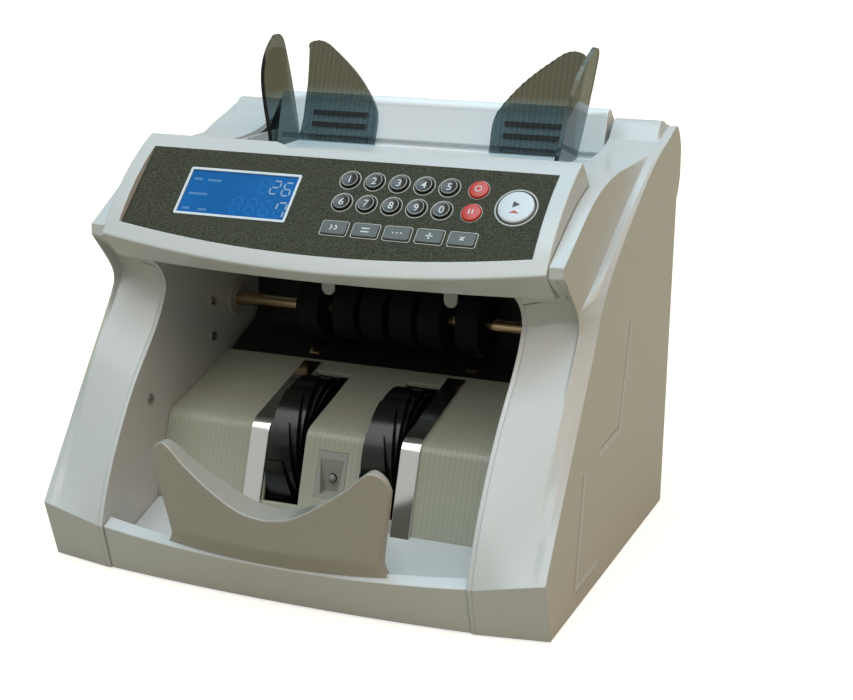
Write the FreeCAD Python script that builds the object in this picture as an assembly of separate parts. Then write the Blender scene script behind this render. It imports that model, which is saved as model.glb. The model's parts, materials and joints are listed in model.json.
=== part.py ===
import FreeCAD, Part
import math
import os

V = FreeCAD.Vector
os.makedirs("parts", exist_ok=True)

# Banknote counting machine, millimetres. X runs across the machine, Y from front to rear, Z up.
# The parts are drawn from the middle of the width, from a line across the middle of the base and from the
# table; the saved parts are moved so that the origin is under the middle of the whole depth.

# Overall sizes
width = 285.0
rear_draw = 3.5
front_y = -119.0
rear_y = 129.5
foot_gap = 1.0
cover_depth = 36.5
frame_sheet = 2.5
cover_wall = 3.2
shell_wall = 2.5
seat_gap = 0.3
slide_gap = 0.3
running_gap = 0.05

# Console: a slanted box across the top of the front
console_margin = 17.5
console_tilt = 43.5
face_y = -55.0
face_z = 179.3
console_floor_z = 159.0
console_back_y = 3.0
console_length = 63.0
console_lip = 8.0
console_bow = 10.0
console_crown = 3.6
crown_mid = 21.2
crown_half = 30.8
notch_depth = 4.0
notch_half = 37.0
notch_slope = 9.5
overlay_margin = 8.7
overlay_length = 51.5
overlay_bow = 9.0
overlay_sheet = 0.8
board_sheet = 1.6
board_depth = 6.0

# Keys and display, placed on the overlay by their distance from its ends and from its lower corners
key_flange = 1.2
key_lip = 1.2
key_crown = 0.9
key_rise = 0.6
number_key_r = 4.6
number_key_margin = 55.0
number_key_pitch = 13.83
upper_row_v = 39.0
lower_row_v = 24.85
red_key_r = 5.2
red_key_margin = 39.1
start_key_r = 9.4
start_key_margin = 16.9
start_key_v = 30.2
function_key_pitch = 17.5
function_key_v = 8.6
function_key_width = 14.0
function_key_height = 8.0
function_key_r = 1.5
lcd_margin = 28.2
lcd_key_gap = 27.8
lcd_low = 9.3
lcd_high = 39.8

# Front: tray, note stop and stacker plate
tray_edge_z = 26.5
rim_slope = 0.48
rim_width = 8.0
well_z = 16.7
floor_toe_z = 24.3
floor_slope = 0.31
tray_end_y = -106.6
tray_bow = 8.4
tray_foot_y = -99.4
tray_foot_bow = 5.0
tray_rear_y = -47.0
stop_half = 67.0
stop_neck = 59.5
stop_ear = 67.0
stop_flare_z = 24.0
stop_tip_x = 57.0
stop_tip_z = 83.2
stop_notch_z = 51.5
stop_end_y = -105.0
stop_bow = 9.5
stop_edge = 3.0
stop_back_bow = 6.0
stop_lean = 10.0
plate_sheet = 2.5
plate_rear_y = 31.4
plate_rear_z = 88.7
plate_bend_y = -36.0
plate_bend_z = 70.3
plate_toe_y = -53.5
plate_toe_z = 19.5
plate_bend_r = 9.0
slot_in = 17.5
slot_out = 38.5
slot_rear_y = 20.0
slot_low_z = 31.0
strip_width = 11.0
strip_sheet = 2.0
strip_rear_y = 26.0
sensor_half = 8.5
sensor_low_z = 37.0
sensor_high_z = 61.0
sensor_depth = 6.0

# Shafts, all along X
transport_y = 43.0
transport_z = 116.9
stacker_y = -6.0
stacker_z = 47.0
feed_y = 26.0
feed_z = 172.0
motor_y = 75.0
motor_z = 50.0
shaft_r = 4.0
bearing_r = 7.0
bearing_flange_r = 10.5
bearing_flange = 2.0
roller_r = 16.5
roller_width = 14.0
roller_places = (9.0, 26.2, 49.0)
feed_roller_r = 15.0
feed_roller_width = 12.0
feed_roller_places = (14.0, 62.0)
wheel_r = 42.5
wheel_width = 18.0
wheel_hub_r = 13.0
leaf_count = 10
leaf_sheet = 1.6
leaf_sweep = 62.0
motor_r = 19.0
motor_length = 56.0
motor_shaft_r = 2.5
pulley_width = 10.0
pulley_offset = 4.0
belt_sheet = 1.6
transport_pulley_r = 18.0
stacker_pulley_r = 16.0
feed_pulley_r = 12.0
motor_pulley_r = 8.0

# Hopper at the top, behind the console
bed_sheet = 2.5
bed_front_y = 14.0
bed_front_z = 184.0
bed_rear_y = 92.5
bed_rear_z = 200.4
hopper_lean = 18.8
hopper_line_y = 95.0
hopper_line_z = 212.0
back_half_trim = 0.5
back_top_z = 231.0
rail_mid = -5.4
rail_height = 3.2
rail_depth = 3.0
guide_sheet = 2.5
guide_gap = 0.6
guide_margin = 17.3
guide_width = 49.9
guide_foot = -8.0
guide_rise = 52.4
guide_side_depth = 34.5
guide_side_z = 204.0
guide_tip_z = 267.4
guide_flare = 10.5

# Rear and underneath
rear_sheet = 2.5
rear_cover_y = 110.0
rear_cover_top = 196.0
base_sheet = 1.5
foot_r = 8.0
inlet_x = -62.0
inlet_z = 19.0
inlet_width = 28.0
inlet_height = 20.0
rocker_x = -22.0
rocker_width = 12.0
rocker_height = 19.0
socket_x = 22.0
socket_width = 14.0
socket_height = 12.0
screw_r = 2.6
screw_shank_r = 1.5

side_x = width / 2
cover_x = side_x - cover_depth
wall_x = cover_x - frame_sheet
console_half = side_x - console_margin
overlay_half = console_half - overlay_margin
console_frame = FreeCAD.Placement(V(0, face_y, face_z), FreeCAD.Rotation(V(1, 0, 0), console_tilt))
hopper_frame = FreeCAD.Placement(
    V(0, hopper_line_y, hopper_line_z), FreeCAD.Rotation(V(1, 0, 0), -hopper_lean))
floor_z = foot_gap + base_sheet
foot_height = floor_z
tray_half = wall_x - 0.2


def trace(plane, offset, start, moves):
    """Closed wire in one of the frame's planes, from line, arc and curve moves."""
    def spot(point):
        if plane == "yz":
            return V(offset, point[0], point[1])
        if plane == "xz":
            return V(point[0], offset, point[1])
        return V(point[0], point[1], offset)

    edges = []
    here = start
    for kind, *points in moves + [("line", start)]:
        if kind == "line" and points[0] == here:
            continue
        if kind == "line":
            edges.append(Part.makeLine(spot(here), spot(points[0])))
        elif kind == "arc":
            edges.append(Part.Arc(spot(here), spot(points[0]), spot(points[1])).toShape())
        else:
            curve = Part.BSplineCurve()
            curve.interpolate([spot(here)] + [spot(point) for point in points])
            edges.append(curve.toShape())
        here = points[-1]
    return Part.Wire(edges)


def lines(*points):
    """Line moves through the given points."""
    return [("line", point) for point in points]


def extrude(plane, start, end, first, moves):
    """Solid between two offsets of a plane, with a traced outline."""
    along = {"yz": V(1, 0, 0), "xz": V(0, 1, 0), "xy": V(0, 0, 1)}[plane]
    return Part.Face(trace(plane, start, first, moves)).extrude(along * (end - start))


def block(low, high):
    """Box between two corners."""
    return Part.makeBox(high[0] - low[0], high[1] - low[1], high[2] - low[2], V(*low))


def rod(y, z, radius, x_from, x_to):
    """Round bar along X."""
    return Part.makeCylinder(radius, x_to - x_from, V(x_from, y, z), V(1, 0, 0))


def peg(x, z, radius, y_from, y_to):
    """Round bar along Y."""
    return Part.makeCylinder(radius, y_to - y_from, V(x, y_from, z), V(0, 1, 0))


def turned(points):
    """Solid of revolution about Z from (radius, height) points and arcs."""
    profile = trace("xz", 0, points[0], points[1:])
    return Part.Face(profile).revolve(V(0, 0, 0), V(0, 0, 1), 360)


def mirrored(shape):
    """The same shape on the other side of the machine."""
    return shape.mirror(V(0, 0, 0), V(1, 0, 0))


def both_sides(shape):
    """A shape and its mirror image."""
    return [shape, mirrored(shape)]


def on_console(shape):
    """Moves a shape from the overlay's own plane to its place on the console."""
    placed = shape.copy()
    placed.Placement = console_frame.multiply(shape.Placement)
    return placed


def on_hopper(shape):
    """Moves a shape from the hopper's upright plane to its lean."""
    placed = shape.copy()
    placed.Placement = hopper_frame.multiply(shape.Placement)
    return placed


def save(name, *shapes):
    """Writes one node, with its solids side by side, centred on the depth of the machine."""
    group = Part.makeCompound([solid for shape in shapes for solid in shape.Solids])
    group.translate(V(0, -(front_y + rear_y) / 2, 0))
    group.exportStep("parts/" + name + ".step")


# Side covers

cover_centre = (10.0, 105.0)
cover_reach = 85.0
sky = 260.0
rear_foot = (rear_y - 16.0, foot_gap)
rear_moves = [("curve", (rear_y - 3.5, 215.3), (rear_y, 207.0), (rear_y - 6.5, 180.0)), ("line", rear_foot)]
ridge_moves = [("line", (105.0, 224.0)), ("arc", (109.8, 225.8), (115.5, 223.4))]
band_moves = [("line", (105.0, 218.2)), ("arc", (112.0, 220.6), (119.3, 222.0))]
band_top = [("curve", (-4.5, 167.2), (29.8, 187.6), (72.5, 208.8), (97.0, 216.0))]


def wall_section():
    """Side view of the pillar and shoulder at the pocket wall."""
    return (-99.7, foot_gap), [
        ("line", (-106.6, 27.0)),
        ("curve", (-84.0, 74.0), (-63.0, 101.5), (-41.0, 126.0), (-33.5, 140.0)),
        ("curve", (-37.5, 151.0), (-47.3, 159.0), (-58.2, 170.5)),
        ("line", (-57.8, 177.4)),
        ("curve", (-38.0, 190.0), (-6.5, 205.0), (30.0, 210.0), (67.0, 210.0), (97.0, 216.0)),
    ] + ridge_moves + rear_moves


def shoulder_section():
    """Side view at the outer edge of the raised shoulder."""
    return (-94.9, foot_gap), [
        ("line", (-103.7, 31.9)),
        ("curve", (-79.4, 73.0), (-63.2, 102.0), (-42.6, 128.0), (-30.3, 145.5)),
        ("curve", (-36.2, 156.4), (-46.0, 164.0), (-58.2, 172.5)),
        ("line", (-57.8, 178.0)),
        ("curve", (-38.6, 188.5), (-6.5, 204.0), (30.0, 210.0), (67.0, 210.5), (97.0, 216.0)),
    ] + ridge_moves + rear_moves


def flank_section():
    """Side view at the foot of the shoulder's outer flank."""
    return (-94.6, foot_gap), [
        ("line", (-103.6, 32.2)),
        ("curve", (-78.8, 73.0), (-63.0, 102.0), (-44.0, 129.0), (-37.4, 140.5)),
        ("line", (-36.4, 148.6)),
        ("line", (-35.6, 151.8)),
    ] + band_top + band_moves + rear_moves


def crease_section():
    """Side view where the pillar's front begins to turn into the outer face."""
    return (-93.9, foot_gap), [
        ("line", (-103.2, 33.0)),
        ("curve", (-77.2, 73.0), (-58.6, 101.0), (-37.6, 129.0), (-31.5, 139.0)),
        ("line", (-26.8, 148.8)),
        ("line", (-20.5, 155.6)),
    ] + band_top + band_moves + rear_moves


def side_section():
    """Side view at the flat outer face."""
    return (-93.2, foot_gap), [
        ("line", (-102.7, 33.6)),
        ("curve", (-73.6, 73.0), (-52.3, 101.0), (-31.3, 129.0), (-25.0, 138.5)),
        ("line", (-19.4, 146.6)),
        ("line", (-12.0, 154.0)),
        ("curve", (-4.5, 160.4), (29.8, 182.6), (72.5, 205.0), (97.0, 215.0)),
    ] + band_moves + rear_moves


def inset(section, step):
    """A section drawn in towards its middle by about the given step."""
    def drawn(point):
        scale = 1 - step / cover_reach
        return tuple(c + (p - c) * scale for p, c in zip(point, cover_centre))

    start, moves = section
    return drawn(start), [(kind, *[drawn(point) for point in points]) for kind, *points in moves]


def cover_loft(stations):
    """Solid through side-view sections, each at its own distance from the middle."""
    wires = [trace("yz", x, *section) for x, section in stations]
    return Part.makeLoft(wires, True, True)


def inside_taper(step):
    """Everything inside the outer face, which draws in towards the rear."""
    front = side_x - step
    rear = front - rear_draw
    return extrude("xy", -10.0, sky, (0.0, front_y), lines((front, front_y), (rear, rear_y), (0.0, rear_y)))


shoulder_x = console_half + 8.0
flank_x = shoulder_x + 1.5
crease_x = side_x - 4.0
cover_body = cover_loft([
    (cover_x, wall_section()),
    (shoulder_x, shoulder_section()),
    (flank_x, flank_section()),
    (crease_x, crease_section()),
    (side_x, side_section()),
]).common(inside_taper(0.0))
console_pocket_x = console_half + seat_gap
pocket_reach = -90.0
console_pocket = block((0, pocket_reach, console_floor_z), (console_pocket_x, console_back_y + seat_gap, sky))

# The hollow follows the shoulder up to its wall, and from there outwards the flat outer face
void_turn_x = shoulder_x - cover_wall
inner_void = cover_loft([
    (cover_x - 1.0, inset(wall_section(), cover_wall)),
    (void_turn_x, inset(shoulder_section(), cover_wall)),
])
outer_face = Part.Face(trace("yz", void_turn_x - 1.0, *inset(side_section(), cover_wall + 1.0)))
outer_void = outer_face.extrude(V(side_x - void_turn_x, 0, 0)).common(inside_taper(cover_wall))
cover_void = inner_void.fuse(outer_void)
pocket_wall = block(
    (0, pocket_reach, console_floor_z - cover_wall),
    (console_pocket_x + cover_wall, console_back_y + seat_gap + cover_wall, sky),
)
right_cover = cover_body.cut(console_pocket).cut(cover_void.cut(pocket_wall))
save("right_cover", right_cover)
save("left_cover", mirrored(right_cover))

# Side frames with the bearing holes

frame_plate = Part.Face(trace("yz", wall_x, *wall_section())).extrude(V(frame_sheet, 0, 0))
frame_plate = frame_plate.cut(console_pocket)
frame_rear = block((0, rear_cover_y - rear_sheet - seat_gap, 0), (width, width, sky))
frame_top = block((0, console_back_y - 50.0, bed_rear_z + 8.0), (width, width, sky))
frame_plate = frame_plate.cut(frame_rear).cut(frame_top)
shaft_places = ((transport_y, transport_z), (stacker_y, stacker_z), (feed_y, feed_z))
for y, z in shaft_places:
    frame_plate = frame_plate.cut(rod(y, z, bearing_r, 0, width))
motor_pass = rod(motor_y, motor_z, motor_shaft_r + 1.0, 0, width)
save("right_side_frame", frame_plate)
save("left_side_frame", mirrored(frame_plate.cut(motor_pass)))

# Bearings pressed into the side frames, with a flange on the pocket side

bearings = []
for y, z in shaft_places:
    body = rod(y, z, bearing_r, wall_x, cover_x).fuse(
        rod(y, z, bearing_flange_r, wall_x - bearing_flange, wall_x))
    bearings += both_sides(body.cut(rod(y, z, shaft_r + running_gap, 0, width)))
save("shaft_bearings", *bearings)

# Wall screws with a cross recess

screws = []
for y, z in ((-54.8, 82.8), (14.4, 100.3), (15.4, 121.2)):
    head = rod(y, z, screw_r, wall_x - 1.2, wall_x)
    for cross in (block((0, y - 1.6, z - 0.35), (wall_x - 0.6, y + 1.6, z + 0.35)),
                  block((0, y - 0.35, z - 1.6), (wall_x - 0.6, y + 0.35, z + 1.6))):
        head = head.cut(cross)
    screws += both_sides(head)
save("wall_screws", *screws)

# Base pan and rubber feet

base_half = wall_x - seat_gap
base = block((-base_half, tray_rear_y - 40.0, foot_gap), (base_half, rear_cover_y - rear_sheet, floor_z))
foot_places = [(x, y) for x in (-base_half + 14.0, base_half - 14.0) for y in (-70.0, 92.0)]
for x, y in foot_places:
    base = base.cut(Part.makeCylinder(foot_r * 0.5, base_sheet, V(x, y, foot_gap)))
for slot in range(7):
    vent_y = 44.0 + 6.0 * slot
    base = base.cut(block((-30.0, vent_y, foot_gap), (30.0, vent_y + 2.5, floor_z)))
save("base_pan", base)
foot_profile = [
    (0.0, 0.0), *lines(
        (foot_r - 1.0, 0.0), (foot_r, foot_gap - 0.4), (foot_r, foot_gap), (foot_r * 0.5, foot_gap),
        (foot_r * 0.5, foot_height), (0.0, foot_height)),
]
feet = []
for x, y in foot_places:
    foot = turned(foot_profile)
    foot.translate(V(x, y, 0))
    feet.append(foot)
save("rubber_feet", *feet)

# Stacker tray: bowed apron with a slanted rim, and behind it a floor that falls towards the rim

tray_top_z = tray_edge_z + 4.0


def bowed_plan(z, end_y, bow):
    """Plan of the tray at one height."""
    return trace("xy", z, (-tray_half, tray_rear_y), [
        ("line", (-tray_half, end_y)), ("arc", (0.0, end_y - bow), (tray_half, end_y)),
        ("line", (tray_half, tray_rear_y)),
    ])


def across(points):
    """Side-view outline as a solid across the whole width."""
    return extrude("yz", -side_x, side_x, points[0], lines(*points[1:]))


def rim_z(y):
    """Height of the rim's slanted top."""
    return tray_edge_z + (y - tray_end_y) * rim_slope


def floor_at(y):
    """Height of the sloping floor."""
    return floor_toe_z + (y - plate_toe_y) * floor_slope


well_edge_y = plate_toe_y - (floor_toe_z - well_z) / floor_slope
before_y = front_y - 20.0
over_rim = across([(before_y, rim_z(before_y)), (0.0, rim_z(0.0)), (0.0, sky), (before_y, sky)])
over_floor = across([(front_y, well_z), (well_edge_y, well_z), (rear_y, floor_at(rear_y)),
                     (rear_y, sky), (front_y, sky)])
well = Part.Face(bowed_plan(0.0, tray_end_y + rim_width, tray_bow)).extrude(V(0, 0, sky)).common(over_floor)
tray = Part.makeLoft([
    bowed_plan(foot_gap, tray_foot_y, tray_foot_bow),
    bowed_plan(tray_top_z, tray_end_y, tray_bow),
], True, True).cut(over_rim).cut(well)
lining_y = tray_foot_y + 4.0
tray_void = extrude("yz", -tray_half + 3.0, tray_half - 3.0, (lining_y, 0.0), lines(
    (lining_y, well_z - shell_wall), (well_edge_y, well_z - shell_wall),
    (0.0, floor_at(0.0) - shell_wall), (0.0, 0.0)))
tray_bearing = block((-base_half, tray_rear_y - 40.0, 0), (base_half, 0, floor_z))
tray = tray.cut(tray_void).cut(tray_bearing)
save("stacker_tray", tray)

# Note stop: bowed plate leaning forward, with ears and a V notch

stop_back_y = stop_end_y + stop_edge
stop_plan = trace("xy", well_z, (-stop_half, stop_back_y), [
    ("line", (-stop_half, stop_end_y)),
    ("arc", (0.0, stop_end_y - stop_bow), (stop_half, stop_end_y)),
    ("line", (stop_half, stop_back_y)),
    ("arc", (0.0, stop_back_y + stop_back_bow), (-stop_half, stop_back_y)),
])
stop_rise = stop_tip_z - well_z + 4.0
stop_prism = Part.Face(stop_plan).extrude(V(0, -stop_lean, stop_rise))
stop_ear_z = 74.0
stop_flare = [(62.8, 25.6), (stop_neck + 0.3, 29.5), (stop_neck, 34.0), (stop_ear - 3.0, 58.0)]
stop_brow = [(45.0, 73.5), (26.5, 60.5), (12.0, 53.2)]


def opposite(points):
    """The same points on the other side, in the other order."""
    return [(-x, z) for x, z in reversed(points)]


stop_view = extrude("xz", -160.0, -60.0, (stop_half, well_z), [
    ("line", (stop_half, stop_flare_z)),
    ("curve", *stop_flare, (stop_ear, stop_ear_z)),
    ("arc", (stop_ear - 3.0, stop_tip_z - 3.0), (stop_tip_x, stop_tip_z)),
    ("curve", *stop_brow, (0.0, stop_notch_z)),
    ("curve", *opposite(stop_brow), (-stop_tip_x, stop_tip_z)),
    ("arc", (-stop_ear + 3.0, stop_tip_z - 3.0), (-stop_ear, stop_ear_z)),
    ("curve", *opposite(stop_flare), (-stop_half, stop_flare_z)),
    ("line", (-stop_half, well_z)),
])
note_stop = stop_prism.common(stop_view).cut(tray)
save("note_stop", note_stop)

# Stacker plate, wear strips and sensor

top_slope = math.atan2(plate_rear_z - plate_bend_z, plate_rear_y - plate_bend_y)
toe_slope = math.atan2(plate_bend_z - plate_toe_z, plate_bend_y - plate_toe_y)
half_turn = (toe_slope - top_slope) / 2
mid_slope = (top_slope + toe_slope) / 2


def plate_line(outward, rear_limit):
    """Bent line of the plate, moved outward: its rear end, the arc round the bend and its toe."""
    rear_z = plate_rear_z - (plate_rear_y - rear_limit) * math.tan(top_slope)
    rear = (rear_limit - outward * math.sin(top_slope), rear_z + outward * math.cos(top_slope))
    toe = (plate_toe_y - outward * math.sin(toe_slope), plate_toe_z + outward * math.cos(toe_slope))
    reach = outward / math.cos(half_turn)
    bend = (plate_bend_y - reach * math.sin(mid_slope), plate_bend_z + reach * math.cos(mid_slope))
    radius = plate_bend_r + outward
    run = radius * math.tan(half_turn)
    sag = radius / math.cos(half_turn) - radius
    arc = [
        (bend[0] + run * math.cos(top_slope), bend[1] + run * math.sin(top_slope)),
        (bend[0] + sag * math.sin(mid_slope), bend[1] - sag * math.cos(mid_slope)),
        (bend[0] - run * math.cos(toe_slope), bend[1] - run * math.sin(toe_slope)),
    ]
    return rear, arc, toe


def bent_sheet(inner, outer, rear_limit, x_from, x_to):
    """Sheet between two offsets of the plate's line, down to the tray's floor."""
    out_rear, out_arc, out_toe = plate_line(outer, rear_limit)
    in_rear, in_arc, in_toe = plate_line(inner, rear_limit)
    sheet = extrude("yz", x_from, x_to, out_rear, [
        ("line", out_arc[0]), ("arc", out_arc[1], out_arc[2]), ("line", out_toe), ("line", in_toe),
        ("line", in_arc[2]), ("arc", in_arc[1], in_arc[0]), ("line", in_rear),
    ])
    return sheet.common(over_floor)


plate = bent_sheet(-plate_sheet, 0.0, plate_rear_y, -tray_half, tray_half)
for slot in both_sides(block((slot_in, -width, slot_low_z), (slot_out, slot_rear_y, sky))):
    plate = plate.cut(slot)
sensor_window = block((-sensor_half, -width, sensor_low_z), (sensor_half, plate_bend_y + 4.0, sensor_high_z))
plate = plate.cut(sensor_window)
save("stacker_plate", plate)
strip_x = slot_out + 0.5
strip = bent_sheet(0.0, strip_sheet, strip_rear_y, strip_x, strip_x + strip_width)
save("wear_strips", *both_sides(strip))
sensor_face = bent_sheet(-sensor_depth - plate_sheet, 0.0, plate_rear_y, -sensor_half, sensor_half)
sensor_block = sensor_face.common(sensor_window)
lens_y = plate_bend_y - 4.5
lens_z = 47.0
funnel = extrude("xz", -width, lens_y, (-sensor_half + 1.2, sensor_high_z - 1.5), lines(
    (sensor_half - 1.2, sensor_high_z - 1.5), (sensor_half - 3.5, sensor_low_z + 2.0),
    (-sensor_half + 3.5, sensor_low_z + 2.0)))
lens = Part.makeSphere(2.4, V(0, lens_y, lens_z)).common(block((-9, lens_y - 9, 0), (9, lens_y + 0.4, sky)))
save("stacker_sensor", sensor_block.cut(funnel).fuse(lens))

# Hopper bed with openings for the feed rollers

bed_slope = math.atan2(bed_rear_z - bed_front_z, bed_rear_y - bed_front_y)
bed_drop = bed_sheet / math.cos(bed_slope)
bed_half = wall_x - bearing_flange - 0.5
bed_wall_y = console_back_y + seat_gap
bed = extrude("yz", -bed_half, bed_half, (bed_rear_y, bed_rear_z), [
    ("line", (bed_front_y, bed_front_z)),
    ("arc", (bed_wall_y + 2.4, bed_front_z - 3.0), (bed_wall_y, bed_front_z - 9.0)),
    ("line", (bed_wall_y, console_floor_z)), ("line", (bed_wall_y + bed_sheet, console_floor_z)),
    ("line", (bed_wall_y + bed_sheet, bed_front_z - 9.0)),
    ("arc", (bed_wall_y + 4.4, bed_front_z - 4.9), (bed_front_y, bed_front_z - bed_drop)),
    ("line", (bed_rear_y, bed_rear_z - bed_drop)),
])
for place in feed_roller_places:
    for slot in both_sides(block(
            (place - feed_roller_width / 2 - 1.5, feed_y - feed_roller_r - 1.0, bed_front_z - 8.0),
            (place + feed_roller_width / 2 + 1.5, feed_y + feed_roller_r + 1.0, sky))):
        bed = bed.cut(slot)
save("hopper_bed", bed)

# Black paper guide under and behind the rollers, hanging tabs and spring tabs

guide_end_y = 62.0
guide_slope = 0.4
guide_end_z = plate_rear_z + (guide_end_y - plate_rear_y) * guide_slope
guide_wall_y = 66.0
guide_half = wall_x - bearing_flange - 0.5
guide_lip_y = plate_rear_y + plate_sheet * math.sin(top_slope) + seat_gap
paper_guide = extrude("yz", -guide_half, guide_half, (guide_lip_y, plate_rear_z), [
    ("line", (guide_end_y - 4.0, guide_end_z - 1.6)),
    ("arc", (guide_end_y + 2.0, guide_end_z + 4.0), (guide_wall_y, guide_end_z + 14.0)),
    ("line", (guide_wall_y, console_floor_z - 2.0)), ("line", (guide_wall_y + 2.0, console_floor_z - 2.0)),
    ("line", (guide_wall_y + 2.0, guide_end_z + 13.0)),
    ("arc", (guide_end_y + 3.6, guide_end_z + 2.6), (guide_end_y - 3.2, guide_end_z - 3.4)),
    ("line", (guide_lip_y, plate_rear_z - 2.0)),
])
save("paper_guide", paper_guide)
tab_x = (roller_places[1] + roller_places[2]) / 2
tab_half = (roller_places[2] - roller_places[1] - roller_width) / 2 - slide_gap
tab_y = transport_y - 9.0
tab_low_z = 127.0
tab_top_z = bed_front_z + (tab_y - bed_front_y) * math.tan(bed_slope) - bed_drop
tab = extrude("xz", tab_y - 1.5, tab_y, (tab_x - tab_half, tab_top_z), [
    ("line", (tab_x - tab_half, tab_low_z + tab_half)),
    ("arc", (tab_x, tab_low_z), (tab_x + tab_half, tab_low_z + tab_half)),
    ("line", (tab_x + tab_half, tab_top_z)),
])
save("guide_tabs", *both_sides(tab.cut(bed)))
spring_x = roller_places[2]
spring_half = 3.2
spring_low_y = guide_lip_y + 4.0
spring_low_z = plate_rear_z + 4.0 * guide_slope
spring_end_y = spring_low_y + 14.0
spring_end_z = spring_low_z + 14.0 * guide_slope
spring_tab = extrude("yz", spring_x - spring_half, spring_x + spring_half, (spring_low_y, spring_low_z), [
    ("line", (spring_end_y, spring_end_z)), ("line", (spring_end_y, spring_end_z + 1.0)),
    ("arc", (spring_low_y + 6.0, spring_low_z + 4.6), (spring_low_y, spring_low_z + 0.6)),
])
save("spring_tabs", *both_sides(spring_tab.cut(paper_guide)))

# Transport shaft with rollers

pulley_x = -(cover_x + pulley_offset + pulley_width)
shaft_end_x = pulley_x - 2.0
shaft_right = cover_x + 1.0


def pulley(y, z, radius, bore):
    """Flanged belt pulley at the left of the left frame."""
    wheel = rod(y, z, radius, pulley_x, pulley_x + pulley_width)
    rim = radius + belt_sheet
    for x in (pulley_x, pulley_x + pulley_width - 1.0):
        wheel = wheel.fuse(rod(y, z, rim, x, x + 1.0))
    return wheel.cut(rod(y, z, bore, -width, 0))


save("transport_shaft", rod(transport_y, transport_z, shaft_r, shaft_end_x, shaft_right))
rollers = []
for place in roller_places:
    roller = rod(transport_y, transport_z, roller_r, place - roller_width / 2, place + roller_width / 2)
    rollers += both_sides(roller.cut(rod(transport_y, transport_z, shaft_r, 0, width)))
save("transport_rollers", *rollers)
save("transport_pulley", pulley(transport_y, transport_z, transport_pulley_r, shaft_r))

# Stacker shaft and leaf wheels

save("stacker_shaft", rod(stacker_y, stacker_z, shaft_r, shaft_end_x, shaft_right))
save("stacker_pulley", pulley(stacker_y, stacker_z, stacker_pulley_r, shaft_r))


def polar(radius, degrees):
    """Point about the stacker shaft, in side view."""
    angle = math.radians(degrees)
    return stacker_y + radius * math.cos(angle), stacker_z + radius * math.sin(angle)


def leaf(turn, x_from, x_to):
    """One curved leaf, trailing round from the hub to the rim."""
    root = wheel_hub_r - 1.0
    waist = (root + wheel_r) / 2
    thin = math.degrees(leaf_sheet / waist)
    tip_thin = math.degrees(leaf_sheet / wheel_r)
    root_thin = math.degrees(leaf_sheet / root)
    return extrude("yz", x_from, x_to, polar(root, turn), [
        ("arc", polar(waist, turn - leaf_sweep * 0.38), polar(wheel_r, turn - leaf_sweep)),
        ("line", polar(wheel_r, turn - leaf_sweep - tip_thin)),
        ("arc", polar(waist, turn - leaf_sweep * 0.38 - thin), polar(root, turn - root_thin)),
    ])


wheel_mid = (slot_in + slot_out) / 2
wheel_from = wheel_mid - wheel_width / 2
wheel_to = wheel_mid + wheel_width / 2
wheel = rod(stacker_y, stacker_z, wheel_hub_r, wheel_from, wheel_to)
wheel = wheel.fuse([leaf(360.0 / leaf_count * index, wheel_from, wheel_to) for index in range(leaf_count)])
wheel = wheel.cut(rod(stacker_y, stacker_z, shaft_r, 0, width))
save("right_stacker_wheel", wheel)
save("left_stacker_wheel", mirrored(wheel))

# Feed shaft with its rollers

save("feed_shaft", rod(feed_y, feed_z, shaft_r, shaft_end_x, shaft_right),
     pulley(feed_y, feed_z, feed_pulley_r, shaft_r))
feed_rollers = []
for place in feed_roller_places:
    tyre = rod(feed_y, feed_z, feed_roller_r, place - feed_roller_width / 2, place + feed_roller_width / 2)
    feed_rollers += both_sides(tyre.cut(rod(feed_y, feed_z, shaft_r, 0, width)))
save("feed_rollers", *feed_rollers)

# Main motor, its pulley and the drive belt

motor_left = -wall_x
motor_end = motor_left + motor_length
motor_can = rod(motor_y, motor_z, motor_r, motor_left + 3.0, motor_end)
motor_can = motor_can.fuse(rod(motor_y, motor_z, motor_r * 0.6, motor_left, motor_left + 3.0))
motor_can = motor_can.fuse(rod(motor_y, motor_z, motor_r * 0.35, motor_end, motor_end + 4.0))
motor_can = motor_can.cut(rod(motor_y, motor_z, motor_shaft_r + running_gap, motor_left, motor_left + 12.0))
motor_feet = block((motor_left + 12.0, motor_y - 12.0, floor_z), (motor_left + 44.0, motor_y + 12.0, motor_z))
motor_feet = motor_feet.cut(rod(motor_y, motor_z, motor_r - 0.5, -width, 0))
motor_arch = block((-width, motor_y - 7.0, floor_z), (0, motor_y + 7.0, motor_z - motor_r - 3.0))
save("main_motor", motor_can.fuse(motor_feet.cut(motor_arch)))
motor_rotor = pulley(motor_y, motor_z, motor_pulley_r, motor_shaft_r).fuse(
    rod(motor_y, motor_z, motor_shaft_r, pulley_x, motor_left + 10.0))
save("motor_pulley", motor_rotor)

belt_round = [
    ((stacker_y, stacker_z), stacker_pulley_r), ((motor_y, motor_z), motor_pulley_r),
    ((transport_y, transport_z), transport_pulley_r), ((feed_y, feed_z), feed_pulley_r),
]


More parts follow.
